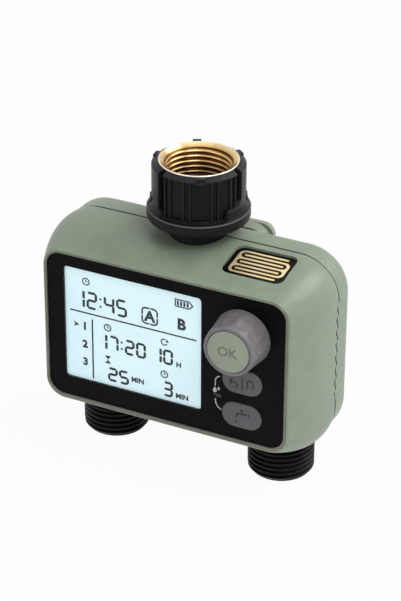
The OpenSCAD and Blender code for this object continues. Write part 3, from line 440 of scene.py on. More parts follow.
# Liquid-crystal segments, dark and flat; then screen-printed inks, even and matt: white and
# blue-grey on the panel, near black on the keys and olive on the push cap
segment_dark = moulded("dark_lcd_segment", ("#0c0e12", "#14161a"), 0.5, 0.001, 0.5, Specular_IOR_Level=0.1)
ink_white = moulded("white_screen_ink", ("#c6cac4", "#d6d9d4"), 0.4, 0.002, 0.5)
ink_blue = moulded("blue_grey_screen_ink", ("#2b2e40", "#34384c"), 0.4, 0.002, 0.5)
ink_black = moulded("near_black_key_ink", ("#222124", "#2a292c"), 0.4, 0.002, 0.5)
ink_olive = moulded("olive_cap_ink", ("#6f7768", "#777f70"), 0.4, 0.002, 0.5)

NODE_SKINS = {name: skin_material for skin_material, names in (
    (sage_abs, "front_housing rear_housing battery_cover"),
    (bezel_abs, "front_bezel"),
    (panel_black, "front_panel"),
    (clear_acrylic, "display_window"),
    (lcd_glow_skin, "lcd_module"),
    (green_board, "main_board"),
    (zinc_steel, "board_screws encoder_shaft collar_retainer plunger_left plunger_right"
     " plunger_spring_left plunger_spring_right housing_screws battery_contacts"),
    (black_pp, "encoder_body button_switches inlet_collar outlet_left outlet_right"),
    (knob_grey, "control_knob"),
    (ok_sage, "ok_button"),
    (key_rubber, "back_lock_button manual_button"),
    (sensor_black, "rain_sensor_plate"),
    (gold_plate, "rain_sensor_tracks"),
    (brass, "inlet_insert"),
    (epdm, "inlet_o_ring seal_disc_left seal_disc_right housing_seal battery_cover_seal"),
    (washer_rubber, "inlet_washer"),
    (filter_mesh, "filter_screen"),
    (valve_nylon, "valve_body"),
    (winding, "solenoid_left solenoid_right"),
    (cell_sleeve, "battery_cells"),
) for name in names.split()}


def dress_nodes():
    """Gives every CAD node its material, merges its loose triangles, and keeps edges over 32 degrees
    sharp while the rest is shaded smooth."""
    for name, made in frame["nodes"].items():
        made.data.materials.clear()
        made.data.materials.append(NODE_SKINS[name])
        weld = made.modifiers.new("weld", "WELD")
        weld.merge_threshold = 0.002 * MM
        split = made.modifiers.new("split", "EDGE_SPLIT")
        split.split_angle = 32 * DEG
        made.data.shade_smooth()


dress_nodes()

# ---------- outlines and closed surfaces, in millimetres ----------


def rounded_outline(width, height, radius, centre=(0.0, 0.0), side=1, top=1, corner=16):
    """Round-cornered rectangle in x, z: straight runs in even steps joined by quarter circles,
    anticlockwise seen from the front, from the foot of the right side."""
    x, z = width / 2 - radius, height / 2 - radius
    turn = np.linspace(0, np.pi / 2, corner + 1)[1:-1]
    quarter = radius * np.stack([np.cos(turn), np.sin(turn)], -1)
    up = np.stack([np.full(side + 1, width / 2), np.linspace(-z, z, side + 1)], -1)
    over = np.stack([np.linspace(x, -x, top + 1), np.full(top + 1, height / 2)], -1)
    half = np.concatenate([up, [x, z] + quarter, over, [-x, z] + quarter[:, ::-1] * [-1, 1]])
    return np.concatenate([half, -half]) + centre


def inset(flat, distance):
    """Moves each point of an outline inwards, square to the line through its two neighbours."""
    along = np.roll(flat, -1, 0) - np.roll(flat, 1, 0)
    along /= np.linalg.norm(along, axis=1)[:, None]
    return flat + distance * np.stack([-along[:, 1], along[:, 0]], -1)


def at_depth(flat, y):
    """An outline of x, z points stood up at depth y."""
    return np.stack([flat[:, 0], np.full(len(flat), float(y)), flat[:, 1]], -1)


def skin(rows, ring=False):
    """Closed surface over sections of equal length: quads between neighbours, and a flat cap at
    each end, or the last section joined back to the first."""
    rows = np.asarray(rows, float)
    count, size = rows.shape[:2]
    faces = grid_faces(count, size, closed_rows=ring).tolist()
    if not ring:
        faces += [list(range(size))[::-1], list(range((count - 1) * size, count * size))]
    return rows.reshape(-1, 3), faces


def plate(flat, near, far, edge=0.0, steps=5):
    """Plate between two depths whose front edge is a quarter round of radius edge."""
    turn = np.linspace(0, np.pi / 2, steps + 1) if edge else [np.pi / 2]
    rows = [at_depth(inset(flat, edge * (1 - np.sin(a))), near + edge * (1 - np.cos(a))) for a in turn]
    return skin(rows + [at_depth(flat, far)])


def joined(parts):
    """Several closed surfaces as one list of points and one of faces."""
    points, faces, start = [], [], 0
    for some, quads in parts:
        points.append(some)
        faces += [[i + start for i in face] for face in quads]
        start += len(some)
    return np.concatenate(points), faces


def solid(name, parts):
    """Mesh object of closed surfaces, each turned so that its faces look outwards."""
    mesh = bpy.data.meshes.new(name)
    points, faces = joined(parts)
    mesh.from_pydata((points * MM).tolist(), [], faces)
    shape = bmesh.new()
    shape.from_mesh(mesh)
    bmesh.ops.recalc_face_normals(shape, faces=shape.faces)
    shape.to_mesh(mesh)
    shape.free()
    made = placed(name, mesh)
    return made


def cut(made, tools, operation="DIFFERENCE"):
    """Exact Boolean of a solid with tools, applied, after which the tools are removed."""
    for tool in tools:
        boolean = made.modifiers.new("cut", "BOOLEAN")
        boolean.operation, boolean.solver, boolean.object = operation, "EXACT", tool
    bpy.context.view_layer.update()
    shaped = bpy.data.meshes.new_from_object(made.evaluated_get(bpy.context.evaluated_depsgraph_get()))
    made.modifiers.clear()
    made.data = shaped
    for tool in tools:
        bpy.data.objects.remove(tool)


def dressed(made, body, skin_material, replaced=(), smooth=38.0):
    """Finishes a piece: material, smooth shading below the given angle, body, nodes replaced."""
    made.data.materials.clear()
    made.data.materials.append(skin_material)
    made.data.shade_smooth()
    made.data.set_sharp_from_angle(angle=smooth * DEG)
    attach(made, body)
    if replaced:
        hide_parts(*replaced)
    return made


def tube_part(x, z, r, bore, y0, y1, count=32):
    """Plain tube along y as a ring of four circles."""
    t = full_turn(count)
    rows = [(r, y0), (r, y1), (bore, y1), (bore, y0)]
    return skin([at_depth([x, z] + a * np.stack([np.cos(t), np.sin(t)], -1), y) for a, y in rows], ring=True)


def rod(radius, start, end, count=96):
    """Closed cylinder between two points on one axis."""
    axis = (Vector(end) - Vector(start)).normalized()
    side = axis.orthogonal().normalized()
    other = axis.cross(side)
    t = full_turn(count)[:, None]
    ring = radius * (np.cos(t) * np.array(side) + np.sin(t) * np.array(other))
    return skin([ring + np.array(start), ring + np.array(end)])


# ---------- front half of the housing ----------

# Finger waves: middle level, spacing, number and depth, and their reach forwards and rearwards
GRIP_Z, GRIP_PITCH, GRIP_COUNT, GRIP_WAVE = BODY_Z + 1.7, 5.6, 8, 0.55
GRIP_REACH, GRIP_FADE = 16.0, 4.0
# Rain sensor: middle of its seat, drop below the top, tilt in degrees, and sides of its plate
SENSOR_X, SENSOR_Y, SENSOR_DROP, SENSOR_TILT = BODY_W / 2 - 28.1, 12.5, 2.4, 8.0
SENSOR_W, SENSOR_D = 25.6, 17.6
NECK_HOLE_R, OUTLET_HOLE_R = 11.7, 13.795
# Depth of the groove at the split line, and outline steps fine enough for the waves
PARTING = 0.45
FINE = {"side": 140, "top": 24, "corner": 24}


def spread(a, b, share):
    """Value at a share of the way from a to b."""
    return a + (b - a) * share


def eased(share):
    """Share from 0 to 1 that leaves and arrives gently."""
    return share * share * (3 - 2 * share)


def front_section(u, inside=0.0):
    """Section of the front half at share u of its depth, from the lip at 0 to the split line at 1:
    the sides swing out by 1 - (1 - u)^1.8 while the corners open by 1 - (1 - u)^0.65."""
    swing, opening = 1 - (1 - u) ** FLARE, 1 - (1 - u) ** CORNER_FLARE
    flat = rounded_outline(
        spread(LIP_W, BODY_W, swing) - 2 * inside,
        spread(LIP_H, BODY_H, swing) - 2 * inside,
        max(spread(LIP_R, CORNER_R, opening) - inside, 1),
        (0, spread(BODY_Z + LIP_RISE, BODY_Z, swing)),
        **FINE,
    )
    return at_depth(flat, LIP_Y * (1 - u))


def gripped(rows):
    """Presses finger waves into both sides: a cosine ripple along z, deepest at the split line,
    that fades forwards over GRIP_REACH and rearwards over GRIP_FADE."""
    rows = np.asarray(rows).copy()
    x, y, z = np.moveaxis(rows, -1, 0)
    along = (z - GRIP_Z) / GRIP_PITCH
    ends = np.clip(1.5 * (GRIP_COUNT / 2 - np.abs(along)), 0, 1)
    fade = np.where(y < 0, np.clip(1 + y / GRIP_REACH, 0, 1), np.clip(1 - y / GRIP_FADE, 0, 1))
    push = GRIP_WAVE / 2 * (1 - np.cos(2 * np.pi * along)) * ends * eased(fade)
    rows[..., 0] = np.where(np.abs(x) > LIP_W / 4, x - np.sign(x) * push, x)
    return rows


def on_sensor(points):
    """Places x, depth, z points of a flat outline on the sloping seat of the rain sensor."""
    x, depth, across = points.T
    t = SENSOR_TILT * DEG
    y = across * math.cos(t) + depth * math.sin(t)
    z = across * math.sin(t) - depth * math.cos(t)
    return np.stack([x + SENSOR_X, y - SENSOR_Y, z + front_high[2] - SENSOR_DROP], -1)


def sensor_block(width, depth, radius, low, high):
    """Round-cornered block square to the sensor's seat, between two heights above it."""
    points, faces = plate(rounded_outline(width, depth, radius), -high, -low)
    return on_sensor(points), faces


def pipe_cutters():
    """Rods for the holes that the neck and the two outlets pass through."""
    top, foot = front_high[2], front_low[2]
    rods = [rod(NECK_HOLE_R, (0, 0, top - WALL - 4), (0, 0, top + 5))]
    rods += [rod(OUTLET_HOLE_R, (x, 0, foot - 1), (x, 0, foot + WALL + 4)) for x in (-OUTLET_X, OUTLET_X)]
    return [solid("cutter", [one]) for one in rods]


REAR_Y = rear_low[1] + 12.8
BEZEL_BACK, LEDGE_BACK, LEDGE = LIP_Y + 3, LIP_Y + 5.4, 3.0
PANEL_R = 6.6
BEZEL_W, BEZEL_H, BEZEL_R = LIP_W - 1, LIP_H - 1, LIP_R - 0.5


def front_shell():
    """One closed ring of sections: split face, outside, rounded lip, bezel seat, ledge, inside."""
    even = np.linspace(1, 0, 40)[1:-1]
    lip = 0.35
    outside = [front_section(1 + d * PARTING / LIP_Y, c * PARTING) for d, c in ((0, 1), (1.1, 1), (1.5, 0.1))]
    outside += [front_section(u) for u in even if u * -LIP_Y < -LIP_Y - 2 * PARTING and u > 0.03]
    for a in np.linspace(0, np.pi / 2, 5):
        outside.append(front_section((lip - lip * math.sin(a)) / -LIP_Y, lip * (1 - math.cos(a))))
    centre = (0, BODY_Z + LIP_RISE)
    seat = rounded_outline(BEZEL_W, BEZEL_H, BEZEL_R, centre, **FINE)
    tray = rounded_outline(
        PANEL_W - 2 * LEDGE + 1, PANEL_H - 2 * LEDGE + 1, PANEL_R - LEDGE + 1, (0, PANEL[2]), **FINE
    )
    inner = [at_depth(seat, LIP_Y), at_depth(seat, BEZEL_BACK)]
    inner += [at_depth(tray, BEZEL_BACK), at_depth(tray, LEDGE_BACK)]
    share = 1 - LEDGE_BACK / LIP_Y
    inner += [front_section(share + (1 - share) * k / 12, WALL) for k in range(13)]
    bosses = [
        tube_part(sx * (BODY_W / 2 - 7.45), z, 3.8, 1.3, -12, -0.02)
        for sx in (-1, 1) for z in (front_high[2] - 11.3, front_low[2] + 11.8)
    ]
    posts = [
        tube_part(sx * (board_high[0] - 2.5), PANEL[2] + sz * 22, 2.4, 1.0, LEDGE_BACK - 1, board_low[1])
        for sx in (-1, 1) for sz in (-1, 1)
    ]
    made = solid("front_shell", [skin(gripped(outside + inner), ring=True)])
    cut(made, [solid("sensor_seat", [sensor_block(SENSOR_W + 3.6, SENSOR_D + 3.2, 4, -2.9, -0.9)])], "UNION")
    pocket = solid("pocket_cutter", [sensor_block(SENSOR_W + 0.4, SENSOR_D + 0.4, 3.5, -1.3, 7)])
    cut(made, [pocket] + pipe_cutters())
    cut(made, [solid("posts", bosses + posts)], "UNION")
    return dressed(made, "timer", sage_abs, ["front_housing"])


shell = front_shell()

# ---------- bezel ----------


def bezel_frame():
    """Frame round the panel as one ring of sections: outside up to a soft front, then down the
    panel's edge to the ledge that carries the panel, and its tray."""
    low, high = span("front_bezel")
    middle, soft = (low + high) / 2, 0.3
    outer = rounded_outline(high[0] - low[0], high[2] - low[2], LIP_R - 0.5, middle[[0, 2]])
    width, height = PANEL_W + 0.1, PANEL_H + 0.1
    hole = rounded_outline(width, height, PANEL_R, PANEL[[0, 2]])
    tray = rounded_outline(width - 5.3, height - 5.3, PANEL_R - 2, PANEL[[0, 2]])
    turn = np.linspace(0, np.pi / 2, 5)
    growing, falling = soft * (1 - np.cos(turn)), soft * (1 - np.sin(turn))
    rows = [at_depth(outer, high[1])]
    rows += [at_depth(inset(outer, a), low[1] + b) for a, b in zip(growing, falling)]
    rows += [at_depth(inset(hole, -b), low[1] + a) for a, b in zip(growing, falling)]
    rows += [at_depth(hole, panel_high[1]), at_depth(tray, panel_high[1]), at_depth(tray, high[1])]
    made = solid("soft_edged_bezel", [skin(rows, ring=True)])
    return dressed(made, "timer", bezel_abs, ["front_bezel"])


bezel_frame()

# ---------- knob ----------

# Direction of one ridge in degrees, and depth of the finger scoops
KNOB_TURN, KNOB_SCOOP = 24.0, 0.5


def knob_skin():
    """Knob turned about its own axis: a ring profile of radius and height above the panel, with
    twelve finger scoops whose front ends are arched, deepest half way between the ridges."""
    foot_y, face_y = knob_high[1], knob_low[1]
    height = foot_y - face_y
    base_r, face_r, ok_r = (knob_high[0] - knob_low[0]) / 2, 10.35, (ok_high[0] - ok_low[0]) / 2
    bend = 0.55
    steps = np.linspace(0.25, height - bend, 44)
    outer = [(spread(base_r, face_r, h / height), h) for h in steps]
    for a in np.linspace(0, np.pi / 2, 7)[1:]:
        outer.append((face_r - bend * (1 - math.cos(a)), height - bend + bend * math.sin(a)))
    recess = height - 3.5
    web = recess - 1.8
    inner = [(ok_r + 0.45, height), (ok_r + 0.2, height - 0.25), (ok_r + 0.2, recess), (2.1, recess)]
    inner += [(2.1, web), (3.55, web), (3.55, 0), (5.3, 0), (5.3, web - 0.8), (8.55, web - 0.8)]
    inner += [(8.55, 0), (base_r - 0.3, 0)]
    profile = np.array(outer + inner)
    t = full_turn(12 * 24)[None, :]
    f = ((t / DEG - KNOB_TURN) / 30) % 1
    h = profile[:, 1:]
    front = height - 1.7 - 2.3 * (2 * f - 1) ** 2
    rise = np.clip((front - h) / 1.5, 0, 1) * np.clip((h - 1.0) / 3.5, 0, 1)
    rise = eased(rise)
    on_side = (np.arange(len(profile)) < len(steps))[:, None]
    r = profile[:, :1] - KNOB_SCOOP * np.sin(np.pi * f) ** 1.2 * rise * on_side
    x, z, y = KNOB[0] + r * np.cos(t), KNOB[2] + r * np.sin(t), foot_y - h + 0 * t
    return np.stack([x, y, z], -1)


dressed(solid("scooped_knob", [skin(knob_skin(), ring=True)]), "knob", knob_grey, ["control_knob"])

# ---------- long rubber keys ----------


def key(name, button, low, high):
    """Obround cap with a soft edge, on the flange and stem that stay behind the panel. The button
    names both its body and the node that it stands for."""
    width, height = 16.9, 10.8
    middle = ((low[0] + high[0]) / 2, (low[2] + high[2]) / 2)
    cap = rounded_outline(width, height, height / 2 - 0.001, middle, corner=28)
    back = panel_high[1] + 0.15
    rim = rounded_outline(width + 1.4, height + 1.4, height / 2 + 0.699, middle, corner=28)
    stem = rounded_outline(4.4, 4.4, 2.199, middle, corner=12)
    parts = [plate(cap, low[1], back + 0.1, edge=0.5), plate(rim, back, back + 0.9)]
    parts.append(plate(stem, back, high[1]))
    return dressed(solid(name, parts), button, key_rubber, [button])


upper_key = key("upper_key", "back_lock_button", upper_low, upper_high)
lower_key = key("lower_key", "manual_button", lower_low, lower_high)

# ---------- threads ----------

THREAD_PITCH = 25.4 / 11.5


def ridge(angle, z):
    """Height of a right-hand thread at an angle and level, from 0 in the root to 1 on the crest:
    a triangle wave with flattened, softened tops."""
    turn = (z / THREAD_PITCH - angle / (2 * np.pi)) % 1
    wave = np.clip((1 - np.abs(2 * turn - 1)) * 1.5 - 0.25, 0, 1)
    return eased(wave)


def swept(profile, x=0.0, count=144, change=None):
    """Revolves a closed profile of radius and level about a vertical axis; change alters radii."""
    profile = np.asarray(profile, float)
    t = full_turn(count)[None, :]
    r, z = profile[:, :1] + 0 * t, profile[:, 1:] + 0 * t
    if change is not None:
        r = change(t, r, z)
    return skin(np.stack([x + r * np.cos(t), r * np.sin(t), z], -1), ring=True)


def brass_insert():
    """Brass ferrule: a lead-in cone down to an inside thread, whose radius falls from root to crest as
    a raised cosine of its right-hand helix, and which runs out just under the cone."""
    rim, crest, root, seat = insert_high[0], 12.35, 13.35, 13.2
    body_r, shoulder, foot, thread_end = rim - 0.9, -1.6, insert_low[2], insert_low[2] + 2
    cone_top, cone_foot, cone_depth, start, lead = rim - 0.4, 13.55, 1.5, -1.9, 206.3
    outer = [(rim - 0.25, 0), (rim - 0.08, -0.06), (rim, -0.22), (rim, shoulder), (body_r, shoulder)]
    outer += [(body_r, foot), (seat, foot), (seat, thread_end)]
    inner = [(crest, z) for z in np.linspace(thread_end, -cone_depth - 0.1, 92)]
    mouth = [(spread(cone_foot, cone_top, k), -cone_depth * (1 - k)) for k in np.linspace(0, 0.98, 7)]
    mouth += [(cone_top + 0.02, -0.01), (cone_top + 0.1, 0)]

    def change(t, r, z):
        """Radius of the bore where the thread runs."""
        turn = (z - start) / THREAD_PITCH + 0.2 - (t / DEG - lead) / 360
        wave = (0.5 + 0.5 * np.cos(2 * np.pi * turn)) ** 0.8
        fade = np.clip((start + 0.5 - z) / 0.8, 0, 1) * np.clip((z - thread_end) / 0.4, 0, 1)
        return np.where(r == crest, root - (root - crest) * wave * fade, r)

    made = solid("threaded_brass_ferrule", [swept(outer + inner + mouth, count=216, change=change)])
    return dressed(made, "inlet", brass, ["inlet_insert"], smooth=50)


def outlet_pipe(name, side):
    """Outlet with its outside thread, shoulder flange cut flat at the walls, and stepped bore."""
    foot, top = outlet_low[2], outlet_high[2]
    crest, root, bore, tube_r, spigot = 13.495, 12.35, 9.4, 9.8, 7.5
    thread_end, shoulder = foot + 16, front_low[2] + WALL + 0.1
    relief, flange = crest - 0.4, 15.0
    outer = [(bore + 0.3, foot), (12.0, foot)]
    outer += [(crest, z) for z in np.linspace(foot + 0.3, thread_end, 118)]
    outer += [(relief, thread_end + 0.25), (relief, shoulder), (flange, shoulder), (flange, shoulder + 2.5)]
    outer += [(tube_r, shoulder + 2.5), (tube_r, top), (spigot, top), (spigot, shoulder), (bore, shoulder)]
    outer += [(bore, foot + 0.3)]
    clip_rear, run_out = REAR_Y - REAR_ROUND - 0.1, 1.1

    def change(t, r, z):
        """Radius of the thread, run out at both ends, and of the flange cut flat at the walls."""
        threaded = r == crest
        cut_r = root + (crest - root) * ridge(t, z)
        cut_r = np.minimum(cut_r, 12.0 + 0.8 * (z - foot))
        past = (z - thread_end) / run_out + 1
        cut_r = np.where(past > 0, crest - 0.4 * past, cut_r)
        r = np.where(threaded, cut_r, r)
        rear = clip_rear / np.maximum(np.sin(t), 1e-6)
        beside = (crest + 0.4) / np.maximum(side * np.cos(t), 1e-6)
        limit = np.minimum(np.where(np.sin(t) > 0, rear, 99), np.where(side * np.cos(t) > 0, beside, 99))
        return np.where(r == flange, np.minimum(r, np.maximum(limit, relief)), r)

    made = solid(name, [swept(outer, x=side * OUTLET_X, change=change)])
    node_name = "outlet_left" if side < 0 else "outlet_right"
    return dressed(made, "timer", black_pp, [node_name], smooth=50)


brass_insert()
outlet_pipe("threaded_outlet_left", -1)
outlet_pipe("threaded_outlet_right", 1)

# ---------- return springs of the valves ----------

SPRING_TURNS, WIRE_R = 4.5, 0.3


def valve_spring(side):
    """Return spring of a valve: a round wire's circle, turned with the coil, about a centre that
    climbs evenly."""
    name = f"plunger_spring_{side}"
    low, high = span(name)
    x, coil_r = (low[0] + high[0]) / 2, (high[0] - low[0]) / 2 - WIRE_R
    foot, rise = low[2] + WIRE_R, high[2] - low[2] - 2 * WIRE_R
    along = np.linspace(0, 2 * np.pi * SPRING_TURNS, 136)[:, None]
    round_wire = full_turn(10)[None, :]
    r = coil_r + WIRE_R * np.cos(round_wire)
    z = foot + rise * along / along[-1] + WIRE_R * np.sin(round_wire)
    rows = np.stack([x + r * np.cos(along), r * np.sin(along), z], -1)
    made = dressed(solid(f"valve_spring_{side}", [skin(rows)]), "timer", zinc_steel, [name])
    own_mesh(made)


for side in ("left", "right"):
    valve_spring(side)

# ---------- swivel collar ----------

# Direction of a recess in degrees, and radii of the grip and of the brass rim
COLLAR_TURN, COLLAR_R, RIM_R = 28.8, 18.4, 15.8
# Radii of the recess floor, of the ribs on it and of the slots
FLOOR_R, RIB_R, SLOT_R = 17.1, 18.05, 16.1
# Levels of the recess, and the rise of its foot on one side
RECESS_TOP, RECESS_FOOT, RECESS_STEP = -2.0, -19.2, 3.9
# Directions of ribs, slots and side blocks in degrees from the middle of a recess
RIBS = (-49, -41, -22, -13.5, 13.5, 22, 41, 49)
SLOTS, BLOCKS = (-56.3, 56.3), (-113, 113)
# Radius and level down the outside: bevel, grip, flare, bead and the flange's rim
COLLAR_PROFILE = (
    (16.2, -0.4), (17.95, -1.48), (18.2, -1.68), (18.35, -1.85), (18.4, -2.1), (18.4, -14.6),
    (18.43, -15.2), (18.52, -15.9), (18.68, -16.6), (18.9, -17.3), (19.17, -18.0), (19.48, -18.7),
    (19.78, -19.2), (20.0, -19.5), (20.25, -19.68), (20.36, -19.9), (20.3, -20.15), (20.13, -20.4),
    (20.2, -20.9), (20.33, -21.6), (20.4, -22.3), (20.38, -23.0), (20.25, -23.6), (20.05, -23.95),
)


def step(distance, soft=0.12):
    """Smooth step from 1 inside a shape to 0 outside it, over soft mm either side of its edge."""
    return eased(np.clip(0.5 - distance / (2 * soft), 0, 1))


def box_distance(u, v, half_u, half_v, radius):
    """Signed distance to a round-cornered rectangle centred on the origin."""
    du, dv = np.abs(u) - half_u + radius, np.abs(v) - half_v + radius
    return np.hypot(np.maximum(du, 0), np.maximum(dv, 0)) + np.minimum(np.maximum(du, dv), 0) - radius


def around(turn, angle):
    """Distance round the grip, in millimetres, from the direction `angle`."""
    return COLLAR_R * DEG * ((turn / DEG - angle + 180) % 360 - 180)


def collar_features(turn, r, z):
    """Presses the outside of the turned collar: r falls to FLOOR_R in two recesses whose foot steps
    up on one side, rises to RIB_R at the ribs, falls to SLOT_R in the slots, and rises at the
    lugs on the bevel and the slotted tabs on the flare."""
    body = r.copy()
    for half_turn in (0, 180):
        u = around(turn, half_turn)
        half = COLLAR_R * 60 * DEG
        foot = RECESS_FOOT + RECESS_STEP * (1 - step(u - 10.6, 0.9))
        middle, reach = (RECESS_TOP + foot) / 2, (RECESS_TOP - foot) / 2
        corner = np.where(z > middle, 0.5, 3.2)
        inside = step(box_distance(u, z - middle, half, reach, corner))
        r = r - np.maximum(r - FLOOR_R, 0) * inside
        for angle in RIBS:
            rib = step(np.abs(around(turn, half_turn + angle)) - 0.42, 0.16) * inside
            r = r + np.maximum(np.minimum(body, RIB_R) - r, 0) * rib
        for angle in SLOTS:
            low = RECESS_FOOT + 1.4 + (RECESS_STEP if angle > 0 else 0)
            slot = step(box_distance(around(turn, half_turn + angle), z - low - 15, 1.25, 15, 1.1))
            r = r - np.maximum(r - SLOT_R, 0) * slot
        lug = step(np.abs(u) - 2.0) * step(np.abs(z + 1.5) - 1.15, 0.05)
        r = np.maximum(r, lug * (COLLAR_R - 0.15))
    for angle in BLOCKS:
        block = step(np.abs(around(turn, angle)) - 2.1) * step(np.abs(z + 1.6) - 1.1, 0.05)
        r = np.maximum(r, block * COLLAR_R)
    for half_turn in (0, 180):
        v = around(turn, half_turn + 90)
        tab = step(np.abs(v) - 3, 0.2) * step(-z - 20.0, 0.3) * step(z + 15.0, 0.25)
        r = np.maximum(r, tab * 19.0)
        notch = step(np.abs(v) - 0.9) * step(-z - 19.3, 0.2) * step(z + 14, 0.2)
        r = r - np.maximum(r - COLLAR_R, 0) * notch
    return r


def swivel_collar():
    """Collar as one closed ring profile: the featured outside, and the cavity that holds the
    ferrule and turns on the neck."""
    depth = np.concatenate([[0.4, 0.44], np.arange(0.52, 23.95, 0.2), [23.95]])
    radius, level = np.array(COLLAR_PROFILE).T
    outside = [(float(np.interp(d, -level, radius)), -float(d)) for d in depth]
    foot, cavity_foot, neck = collar_low[2], collar_low[2] + 3.3, 11.7
    inside = [(19.8, foot), (neck, foot), (neck, cavity_foot), (14.6, cavity_foot), (14.6, -14.5)]
    inside += [(14.95, -14.5), (14.95, -1.6), (RIM_R + 0.05, -1.6), (RIM_R + 0.05, -0.4)]
    count = len(outside)

    def change(t, r, z):
        """Features on the outside only, turned to where the photograph shows them."""
        shaped = collar_features(t + np.pi / 2 - COLLAR_TURN * DEG, r[:count], z[:count])
        return np.concatenate([shaped, r[count:]])

    made = solid("ribbed_swivel_collar", [swept(outside + inside, count=600, change=change)])
    return dressed(made, "inlet", collar_painted_pp, ["inlet_collar"], smooth=34)


swivel_collar()

# ---------- places found in the photograph ----------


def seen_at(name, carrier):
    """The x and z, in millimetres, where the ray through an image point meets the piece that carries
    it; a miss takes the place on the piece nearest the ray."""
    width, height = PHOTO
    side = max(PHOTO)
    x, y = IMAGE_POINTS[name]
    right, up, back = camera_axes()
    ray = (x - width / 2) * right + (height / 2 - y) * up - side * LENS / SENSOR * back
    graph = bpy.context.evaluated_depsgraph_get()
    tree = BVHTree.FromObject(carrier, graph)
    hit = tree.ray_cast(EYE, ray.normalized())[0]
    if hit is None:
        steps = [EYE + ray.normalized() * DISTANCE * s for s in np.linspace(0.9, 1.1, 41)]
        hit = min((tree.find_nearest(p) for p in steps), key=lambda found: found[3])[0]
    return np.array(hit)[[0, 2]] / MM


# Points of the finished marks, in millimetres, by the name of their image point
SHOWN = {}

# ---------- printed and displayed marks ----------

# How far ink stands proud of what it is printed on
INK = 0.04


def bar(a, b, width, square=True):
    """Flat bar between two x, z points; a bar of the display has its ends cut to points."""
    a, b = np.asarray(a, float), np.asarray(b, float)
    along = (b - a) / np.linalg.norm(b - a)
    side = np.array([-along[1], along[0]]) * width / 2
    if square:
        return np.array([a - side, b - side, b + side, a + side])
    tip = along * width / 2
    return np.array([a, a + tip - side, b - tip - side, b, b - tip + side, a + tip + side])


def stroke(points, width):
    """Line of even width through x, z points, as a chain of mitred four-sided plates."""
    points = np.asarray(points, float)
    run = np.diff(points, axis=0)
    run /= np.linalg.norm(run, axis=1)[:, None]
    before, after = np.vstack([run[:1], run]), np.vstack([run, run[-1:]])
    side = np.stack([-(before + after)[:, 1], (before + after)[:, 0]], -1)
    side *= (width / (side * np.stack([-before[:, 1], before[:, 0]], -1)).sum(1) / 2)[:, None]
    low, high = points - side, points + side
    return [np.array([low[i], low[i + 1], high[i + 1], high[i]]) for i in range(len(points) - 1)]


def arc(centre, radius, start, end, steps=10):
    """Points on a circular arc between two angles in degrees; radius may be one number or two."""
    t = np.linspace(start, end, steps + 1)[:, None] * DEG
    return np.asarray(centre) + np.concatenate([np.cos(t), np.sin(t)], -1) * radius


def ring_stroke(flat, width):
    """Closed line of even width along an outline."""
    closed = np.vstack([flat, flat[:2]])
    return stroke(closed, width)[: len(flat)]


# Lit bars of each figure, in the order top, upper left, upper right, middle, lower left,
# lower right, foot
FIGURES = {
    "0": "1110111", "1": "0010010", "2": "1011101", "3": "1011011", "4": "0111010",
    "5": "1101011", "6": "1101111", "7": "1010010", "8": "1111111", "9": "1111011",
}
BAR = 1.08


def figure(value, left, right, foot, head):
    """One seven-bar figure filling the given box."""
    x0, x1, z0, z2 = left + BAR / 2, right - BAR / 2, foot + BAR / 2, head - BAR / 2
    z1 = (z0 + z2) / 2
    places = [
        ((x0, z2), (x1, z2)), ((x0, z1), (x0, z2)), ((x1, z1), (x1, z2)), ((x0, z1), (x1, z1)),
        ((x0, z0), (x0, z1)), ((x1, z0), (x1, z1)), ((x0, z0), (x1, z0)),
    ]
    return [bar(*p, BAR, square=False) for lit, p in zip(FIGURES[value], places) if lit == "1"]


def figures(text, left, foot, head, pitch, width):
    """Row of seven-bar figures; an i is the narrow 1 in front, and a colon is two dots."""
    shapes, x, middle = [], left, (foot + head) / 2
    for letter in text:
        if letter == ":":
            off = (head - foot) * 0.21
            shapes += [bar((x + 0.3, z), (x + 1.15, z), 0.85) for z in (middle - off, middle + off)]
            x += pitch - width + 1.5
        elif letter == "i":
            runs = ((foot + 0.4, middle - 0.3), (middle + 0.3, head - 0.4))
            shapes += [bar((x + BAR / 2, low), (x + BAR / 2, high), BAR) for low, high in runs]
            x += pitch - width + BAR
        else:
            shapes += figure(letter, x, x + width, foot, head)
            x += pitch
    return shapes


def lettering(text, size, centre, weight=0.0):
    """Plain upright lettering as flat plates centred on an x, z point, size being its letter height."""
    curve = bpy.data.curves.new("lettering", "FONT")
    curve.body, curve.size, curve.offset = text, 1.0, weight / size
    curve.resolution_u = 4
    made = placed("lettering", curve)
    bpy.context.view_layer.update()
    mesh = bpy.data.meshes.new_from_object(made.evaluated_get(bpy.context.evaluated_depsgraph_get()))
    bpy.data.objects.remove(made)
    flat = np.empty(len(mesh.vertices) * 3)
    mesh.vertices.foreach_get("co", flat)
    flat = flat.reshape(-1, 3)[:, :2]
    low, high = flat.min(0), flat.max(0)
    flat = (flat - (low + high) / 2) * size / (high[1] - low[1]) + centre
    return [flat[list(face.vertices)] for face in mesh.polygons]


def marks(name, shapes, y, body, ink):
    """Flat plates of ink just proud of the surface at depth y, joined into one piece."""
    parts = [skin([at_depth(flat, y - INK), at_depth(flat, y + INK / 2)]) for flat in shapes]
    return dressed(solid(name, parts), body, ink)


# ---------- combs of the rain sensor ----------

# Spacing and width of the tracks, half their length, and width and corner of the bus
TRACK_PITCH, TRACK_W, TRACK_REACH, BUS_W, BUS_R = 2.24, 1.0, 11.0, 1.1, 2.4


